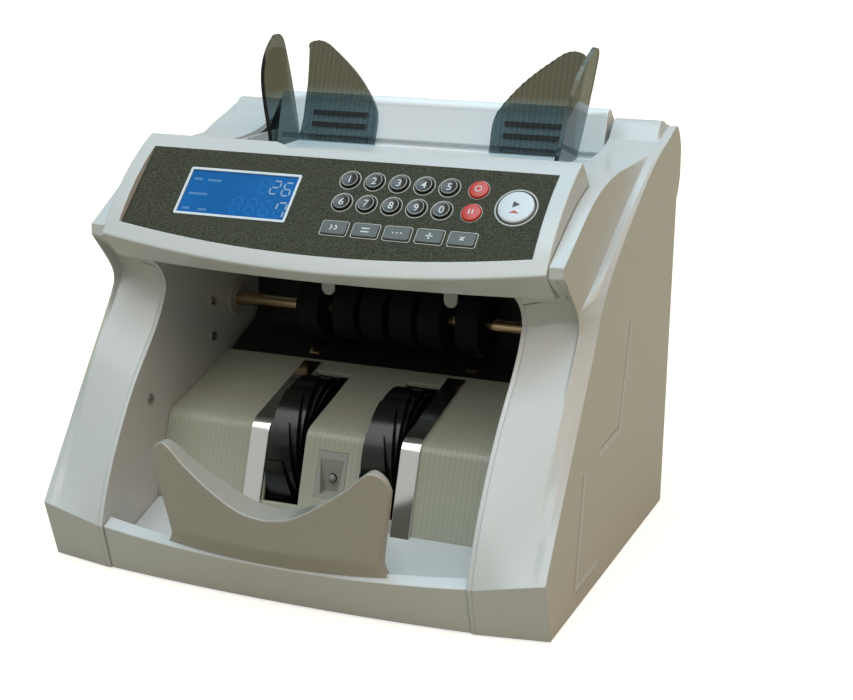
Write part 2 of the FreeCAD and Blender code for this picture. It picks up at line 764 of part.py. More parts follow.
def belt_loop(extra):
    """Loop round the pulleys, the given distance off their running faces."""
    circles = [(centre, radius + extra) for centre, radius in belt_round]
    normals = []
    for (here, r_here), (there, r_there) in zip(circles, circles[1:] + circles[:1]):
        span = math.dist(here, there)
        along = ((there[0] - here[0]) / span, (there[1] - here[1]) / span)
        lean = (r_here - r_there) / span
        rest = math.sqrt(1 - lean ** 2)
        normals.append((along[0] * lean + along[1] * rest, along[1] * lean - along[0] * rest))
    moves = []
    for index, (centre, radius) in enumerate(circles):
        before = normals[index - 1]
        after = normals[index]
        middle = (before[0] + after[0], before[1] + after[1])
        size = math.hypot(*middle)
        spots = [before, (middle[0] / size, middle[1] / size), after]
        ring = [(centre[0] + radius * s[0], centre[1] + radius * s[1]) for s in spots]
        moves += [("line", ring[0]), ("arc", ring[1], ring[2])]
    return moves[0][1], moves[1:]


belt_gap = 1.4
belt_from = pulley_x + belt_gap
belt_to = pulley_x + pulley_width - belt_gap
belt = extrude("yz", belt_from, belt_to, *belt_loop(slide_gap + belt_sheet))
save("drive_belt", belt.cut(extrude("yz", belt_from, belt_to, *belt_loop(slide_gap))))

# Hopper back plate with a groove at its foot for the guides

back_half = wall_x - back_half_trim
back_skirt_z = bed_rear_z - bed_drop - 4.0
lean = math.tan(math.radians(hopper_lean))
back_line_y = hopper_line_y + (guide_sheet + guide_gap) / math.cos(math.radians(hopper_lean))


def back_y(z):
    """Front face of the leaning back plate at a height."""
    return back_line_y + (z - hopper_line_z) * lean


def back_section(step):
    """Side view of the back plate, drawn in by a wall thickness."""
    brow_z = back_top_z - 5.0
    return (back_y(back_skirt_z) + step, back_skirt_z), [
        ("line", (back_y(brow_z) + step, brow_z)),
        ("arc", (107.5 + step * 0.3, back_top_z - step), (113.0 - step * 0.7, 228.0 - step * 0.7)),
        ("line", (rear_y - 4.0 - step, 217.0 - step * 0.5)),
        ("arc", (rear_y - step, 208.0), (rear_y - 4.0 - step, rear_cover_top)),
        ("line", (rear_cover_y - rear_sheet - step, back_skirt_z)),
    ]


back_plate = extrude("yz", -back_half, back_half, *back_section(0.0))
back_wall = shell_wall + rail_depth
back_plate = back_plate.cut(
    extrude("yz", -back_half + shell_wall, back_half - shell_wall, *back_section(back_wall)))
rail_half = back_half - 3.0
rail_face = guide_sheet + guide_gap
groove = block((-rail_half, rail_face - 2.0, rail_mid - rail_height / 2),
               (rail_half, rail_face + rail_depth, rail_mid + rail_height / 2))
save("hopper_back_plate", back_plate.cut(on_hopper(groove)))

# Hopper guides: a ribbed leaf facing the front, a side leaf, and a runner in the groove

guide_outer_x = wall_x - guide_margin
guide_inner_x = guide_outer_x - guide_width
leaf_edge = [(-0.1, 5.5), (0.9, 12.5), (5.7, 21.0), (14.2, 31.5), (27.7, 43.5), (36.7, guide_rise - 2.2)]
face_leaf = extrude("xz", 0.0, guide_sheet, (guide_inner_x, guide_foot), [
    ("curve", *[(guide_inner_x + x, z) for x, z in leaf_edge]),
    ("curve", (guide_outer_x - 6.2, guide_rise), (guide_outer_x - 1.2, guide_rise - 1.0)),
    ("arc", (guide_outer_x + 0.4, guide_rise - 2.4), (guide_outer_x, guide_rise - 5.0)),
    ("curve", (guide_outer_x - 1.6, 30.0), (guide_outer_x - 2.2, 14.0), (guide_outer_x, guide_foot)),
])
rib_count = 15
rib_pitch = 3.2
rib_width = 0.9
rib_rise = 0.6
ribs = []
for index in range(rib_count):
    rib_x = guide_inner_x + 2.0 + rib_pitch * index
    ribs.append(block((rib_x, -rib_rise, guide_foot), (rib_x + rib_width, guide_sheet, guide_rise)))
rib_shade = face_leaf.copy()
rib_shade.translate(V(0, -rib_rise, 0))
face_leaf = face_leaf.fuse([rib.common(rib_shade) for rib in ribs])
side_back_y = hopper_line_y
side_front_y = side_back_y - guide_side_depth
side_x_from = guide_outer_x - 0.5
side_leaf = extrude("yz", side_x_from, side_x_from + guide_sheet, (side_back_y, guide_side_z), [
    ("curve", (side_back_y + 2.5, 224.0), (side_back_y + 3.5, 245.0), (side_back_y + 3.0, 262.0)),
    ("arc", (side_back_y - 2.0, guide_tip_z), (side_back_y - 8.5, guide_tip_z - 1.6)),
    ("curve", (side_front_y + 14.5, 258.0), (side_front_y + 6.0, 246.5), (side_front_y + 2.6, 232.0),
     (side_front_y, guide_side_z)),
])
side_leaf.rotate(V(guide_outer_x, 0, guide_side_z), V(0, 1, 0), guide_flare)
runner_half = rail_height / 2 - slide_gap
runner = block((guide_inner_x + 6.0, guide_sheet - 0.5, rail_mid - runner_half),
               (guide_outer_x - 6.0, rail_face + rail_depth - slide_gap, rail_mid + runner_half))
right_guide = on_hopper(face_leaf.fuse(runner)).fuse(side_leaf)
save("right_hopper_guide", right_guide)
save("left_hopper_guide", mirrored(right_guide))

# Console housing, overlay, display and boards, drawn in the overlay's own plane

def console_outline(w, step):
    """Front outline of the console in the overlay's plane, drawn in by a wall thickness."""
    half = console_half - step
    top = console_length - step
    low = -console_lip + step
    return trace("xy", w, (-half, low), [
        ("arc", (0.0, low - console_bow), (half, low)), ("line", (half, top)),
        ("line", (notch_half + notch_slope, top)), ("line", (notch_half, top - notch_depth)),
        ("line", (-notch_half, top - notch_depth)), ("line", (-notch_half - notch_slope, top)),
        ("line", (-half, top)),
    ])


def overlay_outline(w, grow):
    """Outline of the overlay, with a bowed lower edge."""
    half = overlay_half + grow
    return trace("xy", w, (-half, -grow), [
        ("arc", (0.0, -overlay_bow - grow), (half, -grow)), ("line", (half, overlay_length + grow)),
        ("line", (-half, overlay_length + grow)),
    ])


console_reach = 90.0
crown_r = (crown_half ** 2 + console_crown ** 2) / (2 * console_crown)
crown = Part.makeCylinder(
    crown_r, 2 * console_half, V(-console_half, crown_mid, console_crown - crown_r), V(1, 0, 0))
front_wall = overlay_sheet + shell_wall
housing = Part.Face(console_outline(-console_reach, 0.0)).extrude(V(0, 0, console_reach + 10.0)).common(crown)
housing = housing.cut(Part.Face(overlay_outline(-overlay_sheet, 0.15)).extrude(V(0, 0, 20.0)))
hollow = Part.Face(console_outline(-console_reach, shell_wall)).extrude(V(0, 0, console_reach - front_wall))
above_floor = block((-width, -width, console_floor_z), (width, console_back_y, sky))
above_lining = block((-width, -width, console_floor_z + shell_wall), (width, console_back_y, sky))
number_key_x = overlay_half - number_key_margin - 4 * number_key_pitch
number_places = [(number_key_x + number_key_pitch * column, row)
                 for row in (upper_row_v, lower_row_v) for column in range(5)]
number_names = [1, 2, 3, 4, 5, 6, 7, 8, 9, 0]
round_keys = [("key_%d" % name, place, number_key_r) for name, place in zip(number_names, number_places)]
red_key_x = overlay_half - red_key_margin
start_key_x = overlay_half - start_key_margin
round_keys += [("red_key_upper", (red_key_x, upper_row_v), red_key_r),
               ("red_key_lower", (red_key_x, lower_row_v), red_key_r),
               ("start_key", (start_key_x, start_key_v), start_key_r)]
function_places = [(red_key_x - function_key_pitch * index, function_key_v) for index in range(4, -1, -1)]
lcd_left = -overlay_half + lcd_margin
lcd_right = number_key_x - lcd_key_gap


def pill(place, grow, w_from, w_to):
    """Rectangle with round corners, for the function keys and their openings."""
    half_w = function_key_width / 2 + grow
    half_h = function_key_height / 2 + grow
    body = block((place[0] - half_w, place[1] - half_h, w_from), (place[0] + half_w, place[1] + half_h, w_to))
    upright = [edge for edge in body.Edges if abs(edge.tangentAt(edge.FirstParameter).z) > 0.5]
    return body.makeFillet(function_key_r + grow, upright)


openings = []
for name, place, radius in round_keys:
    openings.append(Part.makeCylinder(radius + slide_gap, 30.0, V(place[0], place[1], -front_wall - 1.0)))
for place in function_places:
    openings.append(pill(place, slide_gap, -front_wall - 1.0, 20.0))
openings.append(block((lcd_left - 0.2, lcd_low - 0.2, -front_wall - 1.0),
                      (lcd_right + 0.2, lcd_high + 0.2, 20.0)))
overlay = Part.Face(overlay_outline(-overlay_sheet, 0.0)).extrude(V(0, 0, overlay_sheet))
for opening in openings:
    overlay = overlay.cut(opening)
    housing = housing.cut(opening)
posts = []
post_u = overlay_half - 12.3
for u in (-post_u, number_key_x - 14.0, post_u):
    for v in (3.0, 46.0):
        posts.append(Part.makeCylinder(2.5, board_depth - front_wall, V(u, v, -board_depth)))
console = on_console(housing).common(above_floor).cut(on_console(hollow).common(above_lining))
save("console_housing", console.fuse([on_console(post) for post in posts]))
save("face_overlay", on_console(overlay))
lcd_block = block((lcd_left, lcd_low, -board_depth), (lcd_right, lcd_high, -0.2))
lcd_pane = block((lcd_left + 1.5, lcd_low + 1.5, -0.5), (lcd_right - 1.5, lcd_high - 1.5, 0))
save("lcd_window", on_console(lcd_block.cut(lcd_pane)))
board_half = overlay_half - 6.3
board = block((-board_half, 0.0, -board_depth - board_sheet),
              (board_half, overlay_length - 2.5, -board_depth))
save("keypad_board", on_console(board))

flange_top = -front_wall - slide_gap
flange_low = flange_top - key_flange
for name, place, radius in round_keys:
    key_top = key_rise + key_crown
    key = turned([(0.0, flange_low)] + lines(
        (radius + key_lip, flange_low), (radius + key_lip, flange_top), (radius, flange_top),
        (radius, key_rise), (radius - 2 * key_crown, key_top), (0.0, key_top)))
    key.translate(V(place[0], place[1], 0))
    save(name, on_console(key))
for index, place in enumerate(function_places):
    cap = pill(place, 0.0, flange_top, key_rise + key_crown * 0.5)
    save("function_key_%d" % (index + 1), on_console(cap.fuse(pill(place, key_lip, flange_low, flange_top))))

# Rear cover with vents, mains inlet, power rocker and display socket

panel_front = rear_cover_y - rear_sheet
rear_panel = block((-cover_x, panel_front, foot_gap), (cover_x, rear_cover_y, back_skirt_z - seat_gap))
rear_panel = rear_panel.cut(block((inlet_x - inlet_width / 2, 0, inlet_z - inlet_height / 2),
                                  (inlet_x + inlet_width / 2, rear_y, inlet_z + inlet_height / 2)))
rear_panel = rear_panel.cut(block((rocker_x - rocker_width / 2, 0, inlet_z - rocker_height / 2),
                                  (rocker_x + rocker_width / 2, rear_y, inlet_z + rocker_height / 2)))
rear_panel = rear_panel.cut(block((socket_x - socket_width / 2, 0, inlet_z - socket_height / 2),
                                  (socket_x + socket_width / 2, rear_y, inlet_z + socket_height / 2)))
for row in range(8):
    for slot in both_sides(block((12.0, 0, 112.0 + 7.0 * row), (72.0, rear_y, 115.0 + 7.0 * row))):
        rear_panel = rear_panel.cut(slot)
board_standoff = 6.0
board_back = panel_front - board_standoff
for x in (-70.0, 70.0):
    for z in (66.0, 104.0):
        rear_panel = rear_panel.fuse(peg(x, z, 3.0, board_back, panel_front))
save("rear_cover", rear_panel)
save("main_board", block((-78.0, board_back - board_sheet, 58.0), (78.0, board_back, 110.0)),
     block((-30.0, board_back - board_sheet - 3.0, 76.0), (-6.0, board_back - board_sheet, 96.0)),
     block((20.0, board_back - board_sheet - 9.0, 64.0), (60.0, board_back - board_sheet, 74.0)))

inlet_flange = 2.0
inlet_deep = 22.0
inlet = block((inlet_x - inlet_width / 2, rear_cover_y - inlet_deep, inlet_z - inlet_height / 2),
              (inlet_x + inlet_width / 2, rear_cover_y, inlet_z + inlet_height / 2))
flange_half = inlet_width / 2 + 5.0
flange_rise = inlet_height / 2 + 2.0
inlet = inlet.fuse(block((inlet_x - flange_half, rear_cover_y, inlet_z - flange_rise),
                         (inlet_x + flange_half, rear_cover_y + inlet_flange, inlet_z + flange_rise)))
inlet = inlet.cut(extrude("xz", rear_cover_y - 14.0, rear_y, (inlet_x - 12.0, inlet_z - 7.5), lines(
    (inlet_x + 12.0, inlet_z - 7.5), (inlet_x + 12.0, inlet_z + 3.0), (inlet_x + 7.5, inlet_z + 7.5),
    (inlet_x - 7.5, inlet_z + 7.5), (inlet_x - 12.0, inlet_z + 3.0))))
for x, z in ((inlet_x - 7.0, inlet_z - 2.0), (inlet_x + 7.0, inlet_z - 2.0), (inlet_x, inlet_z + 2.0)):
    inlet = inlet.fuse(block((x - 1.0, rear_cover_y - 14.0, z - 2.0), (x + 1.0, rear_cover_y - 6.0, z + 2.0)))
save("power_inlet", inlet)

rocker_gap = 0.5
rocker_pivot_y = rear_cover_y - 3.0
rocker_half = rocker_height / 2 - rocker_gap
rocker = extrude("yz", rocker_x - rocker_width / 2 + rocker_gap, rocker_x + rocker_width / 2 - rocker_gap,
                 (rocker_pivot_y - 5.0, inlet_z - 4.0), lines(
    (rear_cover_y - 1.2, inlet_z - rocker_half + 1.0), (rear_cover_y + 2.6, inlet_z - rocker_half + 1.2),
    (rear_cover_y + 0.8, inlet_z), (rear_cover_y + 2.6, inlet_z + rocker_half - 1.2),
    (rear_cover_y - 1.2, inlet_z + rocker_half - 1.0), (rocker_pivot_y - 5.0, inlet_z + 4.0)))
save("power_rocker", rocker)
socket = block((socket_x - socket_width / 2, rear_cover_y - 14.0, inlet_z - socket_height / 2),
               (socket_x + socket_width / 2, rear_cover_y + 0.6, inlet_z + socket_height / 2))
socket = socket.cut(block((socket_x - 5.0, rear_cover_y - 11.0, inlet_z - 4.0),
                          (socket_x + 5.0, rear_y, inlet_z + 2.6)))
socket = socket.cut(block((socket_x - 2.0, rear_cover_y - 11.0, inlet_z - 4.0),
                          (socket_x + 2.0, rear_y, inlet_z + 4.4)))
save("display_socket", socket)

# Power supply on the base pan: iron core with a bobbin through it

supply_margin = 7.5
supply_half = 28.0
supply_x = wall_x - supply_margin - supply_half
core = block((supply_x - supply_half, 56.0, floor_z), (supply_x + supply_half, 92.0, floor_z + 46.0))
bobbin = block((supply_x - supply_half + 6.0, 48.0, floor_z + 9.0),
               (supply_x + supply_half - 6.0, 100.0, floor_z + 37.0))
save("power_supply", core.cut(bobbin), bobbin)
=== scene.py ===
import json
import math

import bmesh
import bpy
from bpy.props import FloatProperty, FloatVectorProperty, PointerProperty
from bpy.types import Operator, Panel, PropertyGroup
from mathutils import Matrix, Vector
from mathutils.bvhtree import BVHTree

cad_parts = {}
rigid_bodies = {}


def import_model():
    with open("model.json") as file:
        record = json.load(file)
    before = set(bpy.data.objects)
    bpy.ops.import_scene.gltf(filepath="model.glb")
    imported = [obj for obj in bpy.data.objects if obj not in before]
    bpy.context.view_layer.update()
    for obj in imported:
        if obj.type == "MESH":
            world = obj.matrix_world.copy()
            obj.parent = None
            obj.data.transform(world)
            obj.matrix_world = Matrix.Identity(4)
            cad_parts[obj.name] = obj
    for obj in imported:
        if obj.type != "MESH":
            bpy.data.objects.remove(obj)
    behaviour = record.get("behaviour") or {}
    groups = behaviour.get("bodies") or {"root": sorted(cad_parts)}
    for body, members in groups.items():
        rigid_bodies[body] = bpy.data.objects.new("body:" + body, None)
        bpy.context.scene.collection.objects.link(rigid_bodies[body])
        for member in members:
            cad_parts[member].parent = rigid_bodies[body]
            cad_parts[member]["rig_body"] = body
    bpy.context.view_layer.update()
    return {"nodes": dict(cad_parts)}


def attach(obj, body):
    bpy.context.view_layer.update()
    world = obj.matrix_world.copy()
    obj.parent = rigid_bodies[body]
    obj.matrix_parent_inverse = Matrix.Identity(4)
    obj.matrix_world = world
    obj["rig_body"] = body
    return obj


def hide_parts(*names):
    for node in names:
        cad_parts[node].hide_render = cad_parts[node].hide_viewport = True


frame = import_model()

bl_info = {
    "name": "Banknote counter",
    "version": (1, 0, 0),
    "blender": (4, 5, 0),
    "location": "3D View > Sidebar > Counter",
    "description": "Dresses the banknote counting machine on its packed frame",
    "category": "Object",
}

MM = 0.001

# Vertices that lie closer than this are one.
MERGE = 0.000002

# The overlay's own plane: u to the right, v up the slope, w out of the face.
CONSOLE_TILT = math.radians(43.5)
CONSOLE = Matrix.Translation((0.0, -60.25 * MM, 179.3 * MM)) @ Matrix.Rotation(CONSOLE_TILT, 4, "X")

# Keys as name, u and v, with a number key's digit after its name, and corners of the display.
UPPER_ROW = 39.0
LOWER_ROW = 24.85
NUMBER_KEY_U = 6.0
NUMBER_KEY_PITCH = 13.83
RED_KEY_U = 77.2
FUNCTION_KEY_U = 7.2
FUNCTION_KEY_PITCH = 17.5
FUNCTION_KEY_V = 8.6
NUMBER_KEYS = [
    ("key_%d" % digit, str(digit), NUMBER_KEY_U + NUMBER_KEY_PITCH * column, row)
    for row, digits in ((UPPER_ROW, (1, 2, 3, 4, 5)), (LOWER_ROW, (6, 7, 8, 9, 0)))
    for column, digit in enumerate(digits)
]
RED_KEYS = [("red_key_upper", RED_KEY_U, UPPER_ROW), ("red_key_lower", RED_KEY_U, LOWER_ROW)]
START_KEY = ("start_key", 99.4, 30.2)
FUNCTION_KEYS = [
    ("function_key_%d" % (place + 1), FUNCTION_KEY_U + FUNCTION_KEY_PITCH * place, FUNCTION_KEY_V)
    for place in range(5)
]
DISPLAY_LOW = Vector((-88.1, 9.3))
DISPLAY_HIGH = Vector((-21.8, 39.8))

SIDES = (("left", -1.0), ("right", 1.0))
QUARTER = math.pi / 2

# Hopper guides: heights between which their tint changes, painted light for what shows through them, and the
# ribs' lines of painted shade across them, in metres.
GUIDE_PAINTED_LIGHT_HEIGHTS = (0.223, 0.236)
GUIDE_RIB_PITCH = 0.0032
GUIDE_RIB_START = 0.00035
GUIDE_RIB_END = 0.0845


# Properties

def colour(label, about, value):
    """A colour that a user may change."""
    return FloatVectorProperty(
        name=label, description=about, default=value, subtype="COLOR", size=3, min=0.0, max=1.0)


def length(label, about, millimetres):
    """A length that a user may change."""
    return FloatProperty(
        name=label, description=about, default=millimetres * MM, unit="LENGTH", min=0.0, precision=5)


class CounterColours(PropertyGroup):
    """Colours of the machine's finishes"""

    shell: colour("Shell", "Off-white of the covers, console and tray", (0.55, 0.555, 0.55))
    stop: colour("Note stop", "Warmer white of the note stop", (0.355, 0.33, 0.29))
    back: colour("Back plate", "Bright white of the hopper's back plate", (0.80, 0.83, 0.85))
    plate: colour("Stacker plate", "Greenish white of the ribbed plate", (0.385, 0.385, 0.305))
    film: colour("Overlay film", "Dark ground of the printed overlay", (0.030, 0.030, 0.020))
    speck: colour("Overlay speck", "Lighter specks in the overlay's print", (0.086, 0.086, 0.062))
    # The silver colour serves the printed rings and frames, and also paints the highlight on the number keys'
    # rims.
    silver: colour("Silver print", "Rings and frames round the keys", (0.42, 0.43, 0.41))
    white_print: colour("White print", "Frame round the display", (0.60, 0.64, 0.67))
    display: colour("Display", "Lit ground of the display", (0.005, 0.080, 0.25))
    ghost: colour("Dark segment", "Segments of the display that are off", (0.010, 0.115, 0.33))
    segment: colour("Lit segment", "Segments of the display that are on", (0.24, 0.33, 0.47))
    dim: colour("Dim bar", "Short bars at the display's left", (0.075, 0.19, 0.39))
    number_key: colour("Number keys", "Black of the number keys", (0.016, 0.013, 0.011))
    red_key: colour("Red keys", "Red of the two mode keys", (0.50, 0.030, 0.014))
    white_key: colour("White key", "White of the large key", (0.60, 0.63, 0.68))
    grey_key: colour("Function keys", "Grey of the five function keys", (0.070, 0.076, 0.068))
    legend: colour("Legends", "Print on the keys", (0.58, 0.60, 0.59))
    rubber: colour("Rubber", "Black of rollers and feet", (0.005, 0.005, 0.005))
    black_plastic: colour("Black plastic", "Paper guide, inlet and rocker", (0.010, 0.010, 0.010))
    brass: colour("Shaft", "Warm metal of the shafts", (0.50, 0.36, 0.22))
    steel: colour("Bright steel", "Polished wear strips", (0.78, 0.77, 0.74))
    # The guides' tint is partly their own and partly painted light: warmer above for the room seen through
    # them, cooler and clearer at the foot for the back plate seen through them.
    smoke: colour("Smoked plastic", "Tint of the hopper guides", (0.084, 0.083, 0.058))
    smoke_low: colour("Smoked foot", "Tint of the hopper guides towards their foot", (0.17, 0.225, 0.235))
    # The groove colour is painted shade, laid as a narrow dark strip along one side of each groove.
    groove: colour("Groove", "Shade in the grooves of the covers", (0.27, 0.25, 0.205))
    # The groove floor colour is painted light: a lighter, bluer strip on the skin stands for the lit floor of
    # a groove that the mesh does not cut.
    groove_floor: colour("Groove floor", "Floor of the grooves in the side covers", (0.62, 0.65, 0.71))
    floor: colour("Floor", "Pale floor under the machine", (0.43, 0.375, 0.26))


class CounterSizes(PropertyGroup):
    """Sizes of print, ribs, grooves, leaves and edges"""

    ring_width: length("Ring width", "Width of the printed rings", 0.45)
    print_rise: length("Print thickness", "How far print stands off the film", 0.12)
    digit_size: length("Digit size", "Type size on the number keys", 5.9)
    rib_pitch: length("Rib pitch", "Distance between ribs of the stacker plate", 2.9)
    groove_width: length("Groove width", "Width of the grooves in the side covers", 4.4)
    leaf_sheet: length("Leaf thickness", "Thickness of a stacker wheel's leaves", 1.2)
    edge_round: length("Edge rounding", "Radius seen on the edges of the shell", 0.9)


class CounterStage(PropertyGroup):
    """Camera and light"""

    azimuth: FloatProperty(
        name="Azimuth", description="Turn of the camera round the machine, from the front",
        default=math.radians(23.132), subtype="ANGLE")
    elevation: FloatProperty(
        name="Elevation", description="Height of the camera over the horizon",
        default=math.radians(16.032), subtype="ANGLE")
    place: FloatVectorProperty(
        name="Camera place", description="Where the camera stands",
        default=(0.3794, -0.80635, 0.3619), subtype="TRANSLATION", size=3)
    lens: FloatProperty(
        name="Lens", description="Focal length on a 36 mm wide sensor, in millimetres",
        default=71.11, unit="CAMERA")
    overhead: FloatProperty(
        name="Overhead light", description="Strength of the cool light from above", default=1.9, min=0.0)
    front: FloatProperty(
        name="Front light", description="Strength of the light from high in front", default=1.75, min=0.0)
    side: FloatProperty(
        name="Side light", description="Strength of the warm light from the right", default=0.80, min=0.0)
    room: FloatProperty(
        name="Room light", description="Strength of the light from all round", default=0.08, min=0.0)


# Node helpers

def add(tree, kind, **settings):
    """A node of one kind, with its settings and the values of its named inputs."""
    made = tree.nodes.new(kind)
    inputs = settings.pop("inputs", {})
    for key, value in settings.items():
        setattr(made, key, value)
    for key, value in inputs.items():
        made.inputs[key].default_value = value
    return made


def new_group(name, inputs, outputs):
    """An empty shader group with its sockets, its input node and its output node."""
    tree = bpy.data.node_groups.new(name, "ShaderNodeTree")
    for label, kind in inputs:
        tree.interface.new_socket(name=label, in_out="INPUT", socket_type=kind)
    for label, kind in outputs:
        tree.interface.new_socket(name=label, in_out="OUTPUT", socket_type=kind)
    return tree, tree.nodes.new("NodeGroupInput"), tree.nodes.new("NodeGroupOutput")


def moulded_group():
    """Fine grain and faint mottling of moulded plastic or rubber."""
    if "Moulded surface" in bpy.data.node_groups:
        return bpy.data.node_groups["Moulded surface"]
    tree, given, result = new_group(
        "Moulded surface",
        (("Vector", "NodeSocketVector"), ("Colour", "NodeSocketColor"), ("Mottle", "NodeSocketFloat"),
         ("Grain Scale", "NodeSocketFloat"), ("Roughness", "NodeSocketFloat"), ("Spread", "NodeSocketFloat")),
        (("Colour", "NodeSocketColor"), ("Roughness", "NodeSocketFloat"), ("Height", "NodeSocketFloat")))
    link = tree.links.new
    cloud = add(tree, "ShaderNodeTexNoise", inputs={"Scale": 38.0, "Detail": 3.0, "Roughness": 0.55})
    grain = add(tree, "ShaderNodeTexNoise", inputs={"Detail": 2.0, "Roughness": 0.5})
    link(given.outputs["Vector"], cloud.inputs["Vector"])
    link(given.outputs["Vector"], grain.inputs["Vector"])
    link(given.outputs["Grain Scale"], grain.inputs["Scale"])
    amount = add(tree, "ShaderNodeMath", operation="MULTIPLY")
    link(cloud.outputs["Fac"], amount.inputs[0])
    link(given.outputs["Mottle"], amount.inputs[1])
    tone = add(tree, "ShaderNodeMix", data_type="RGBA", blend_type="MULTIPLY")
    tone.inputs["B"].default_value = (0.62, 0.60, 0.55, 1.0)
    link(amount.outputs[0], tone.inputs["Factor"])
    link(given.outputs["Colour"], tone.inputs["A"])
    link(tone.outputs["Result"], result.inputs["Colour"])
    centred = add(tree, "ShaderNodeMath", operation="SUBTRACT", inputs={1: 0.5})
    link(cloud.outputs["Fac"], centred.inputs[0])
    rough = add(tree, "ShaderNodeMath", operation="MULTIPLY_ADD")
    link(centred.outputs[0], rough.inputs[0])
    link(given.outputs["Spread"], rough.inputs[1])
    link(given.outputs["Roughness"], rough.inputs[2])
    link(rough.outputs[0], result.inputs["Roughness"])
    link(grain.outputs["Fac"], result.inputs["Height"])
    return tree


def ribbed_group():
    """Flat lands with narrow grooves between them, side by side along X."""
    if "Fine ribs" in bpy.data.node_groups:
        return bpy.data.node_groups["Fine ribs"]
    tree, given, result = new_group(
        "Fine ribs",
        (("Vector", "NodeSocketVector"), ("Pitch", "NodeSocketFloat"), ("Groove", "NodeSocketFloat")),
        (("Land", "NodeSocketFloat"),))
    link = tree.links.new
    parts = add(tree, "ShaderNodeSeparateXYZ")
    link(given.outputs["Vector"], parts.inputs[0])
    count = add(tree, "ShaderNodeMath", operation="DIVIDE")
    link(parts.outputs["X"], count.inputs[0])
    link(given.outputs["Pitch"], count.inputs[1])
    swing = add(tree, "ShaderNodeMath", operation="PINGPONG", inputs={1: 0.5})
    link(count.outputs[0], swing.inputs[0])
    land = add(tree, "ShaderNodeMapRange", interpolation_type="SMOOTHSTEP")
    link(swing.outputs[0], land.inputs["Value"])
    link(given.outputs["Groove"], land.inputs["From Max"])
    link(land.outputs["Result"], result.inputs["Land"])
    return tree


def brushed_group():
    """Fine scratches drawn along X on metal."""
    if "Drawn metal" in bpy.data.node_groups:
        return bpy.data.node_groups["Drawn metal"]
    tree, given, result = new_group(
        "Drawn metal",
        (("Vector", "NodeSocketVector"), ("Stretch", "NodeSocketVector"), ("Roughness", "NodeSocketFloat"),
         ("Spread", "NodeSocketFloat")),
        (("Roughness", "NodeSocketFloat"), ("Height", "NodeSocketFloat")))
    link = tree.links.new
    stretched = add(tree, "ShaderNodeVectorMath", operation="MULTIPLY")
    link(given.outputs["Vector"], stretched.inputs[0])
    link(given.outputs["Stretch"], stretched.inputs[1])
    scratch = add(tree, "ShaderNodeTexNoise", inputs={"Scale": 1.0, "Detail": 4.0, "Roughness": 0.6})
    link(stretched.outputs[0], scratch.inputs["Vector"])
    rough = add(tree, "ShaderNodeMath", operation="MULTIPLY_ADD")
    link(scratch.outputs["Fac"], rough.inputs[0])
    link(given.outputs["Spread"], rough.inputs[1])
    link(given.outputs["Roughness"], rough.inputs[2])
    link(rough.outputs[0], result.inputs["Roughness"])
    link(scratch.outputs["Fac"], result.inputs["Height"])
    return tree


def use_group(tree, group, **values):
    """A group placed in a material, with its own values."""
    made = add(tree, "ShaderNodeGroup", node_tree=group)
    for key, value in values.items():
        made.inputs[key.replace("_", " ")].default_value = value
    return made


def start_material(name, **constants):
    """A new material with its shader's constant sockets set, its nodes, shader and object coordinates."""
    made = bpy.data.materials.new(name)
    made.use_nodes = True
    tree = made.node_tree
    shader = tree.nodes["Principled BSDF"]
    for key, value in constants.items():
        shader.inputs[key.replace("_", " ")].default_value = value
    place = add(tree, "ShaderNodeTexCoord").outputs["Object"]
    return made, tree, shader, place


def rgba(value):
    """A colour property as a socket's four numbers."""
    return (*value, 1.0)


def add_bump(tree, shader, height, distance, edge=0.0):
    """A bump of the given depth on a shader, over edges that look rounded where a radius is given."""
    link = tree.links.new
    bump = add(tree, "ShaderNodeBump", inputs={"Strength": 1.0, "Distance": distance})
    if edge > 0.0:
        rounding = add(tree, "ShaderNodeBevel", samples=6, inputs={"Radius": edge})
        link(rounding.outputs["Normal"], bump.inputs["Normal"])
    link(height, bump.inputs["Height"])
    link(bump.outputs["Normal"], shader.inputs["Normal"])


def uneven_gloss(tree, shader, cloud, place, low, high):
    """Spreads a shader's roughness between two values over a noise node."""
    link = tree.links.new
    link(place, cloud.inputs["Vector"])
    rough = add(tree, "ShaderNodeMapRange", inputs={"To Min": low, "To Max": high})
    link(cloud.outputs["Fac"], rough.inputs["Value"])
    link(rough.outputs["Result"], shader.inputs["Roughness"])


def blend(tree, share, first, second):
    """A mix of two colours by a share."""
    mix = add(tree, "ShaderNodeMix", data_type="RGBA")
    mix.inputs["A"].default_value = rgba(first)
    mix.inputs["B"].default_value = rgba(second)
    tree.links.new(share, mix.inputs["Factor"])
    return mix.outputs["Result"]


def moulded(name, tint, roughness, mottle=0.10, grain=1400.0, depth=0.00003, spread=0.10, edge=0.0,
            **constants):
    """Plastic or rubber with a moulded grain."""
    made, tree, shader, place = start_material(name, **constants)
    link = tree.links.new
    surface = use_group(
        tree, moulded_group(), Colour=rgba(tint), Mottle=mottle, Grain_Scale=grain, Roughness=roughness,
        Spread=spread)
    link(place, surface.inputs["Vector"])
    link(surface.outputs["Colour"], shader.inputs["Base Color"])
    link(surface.outputs["Roughness"], shader.inputs["Roughness"])
    add_bump(tree, shader, surface.outputs["Height"], depth, edge)
    return made


def drawn(name, tint, roughness, stretch, spread=0.15):
    """Metal with drawing marks."""
    made, tree, shader, place = start_material(name, Metallic=1.0, Base_Color=rgba(tint))
    link = tree.links.new
    surface = use_group(tree, brushed_group(), Stretch=stretch, Roughness=roughness, Spread=spread)
    link(place, surface.inputs["Vector"])
    link(surface.outputs["Roughness"], shader.inputs["Roughness"])
    add_bump(tree, shader, surface.outputs["Height"], 0.000001)
    return made


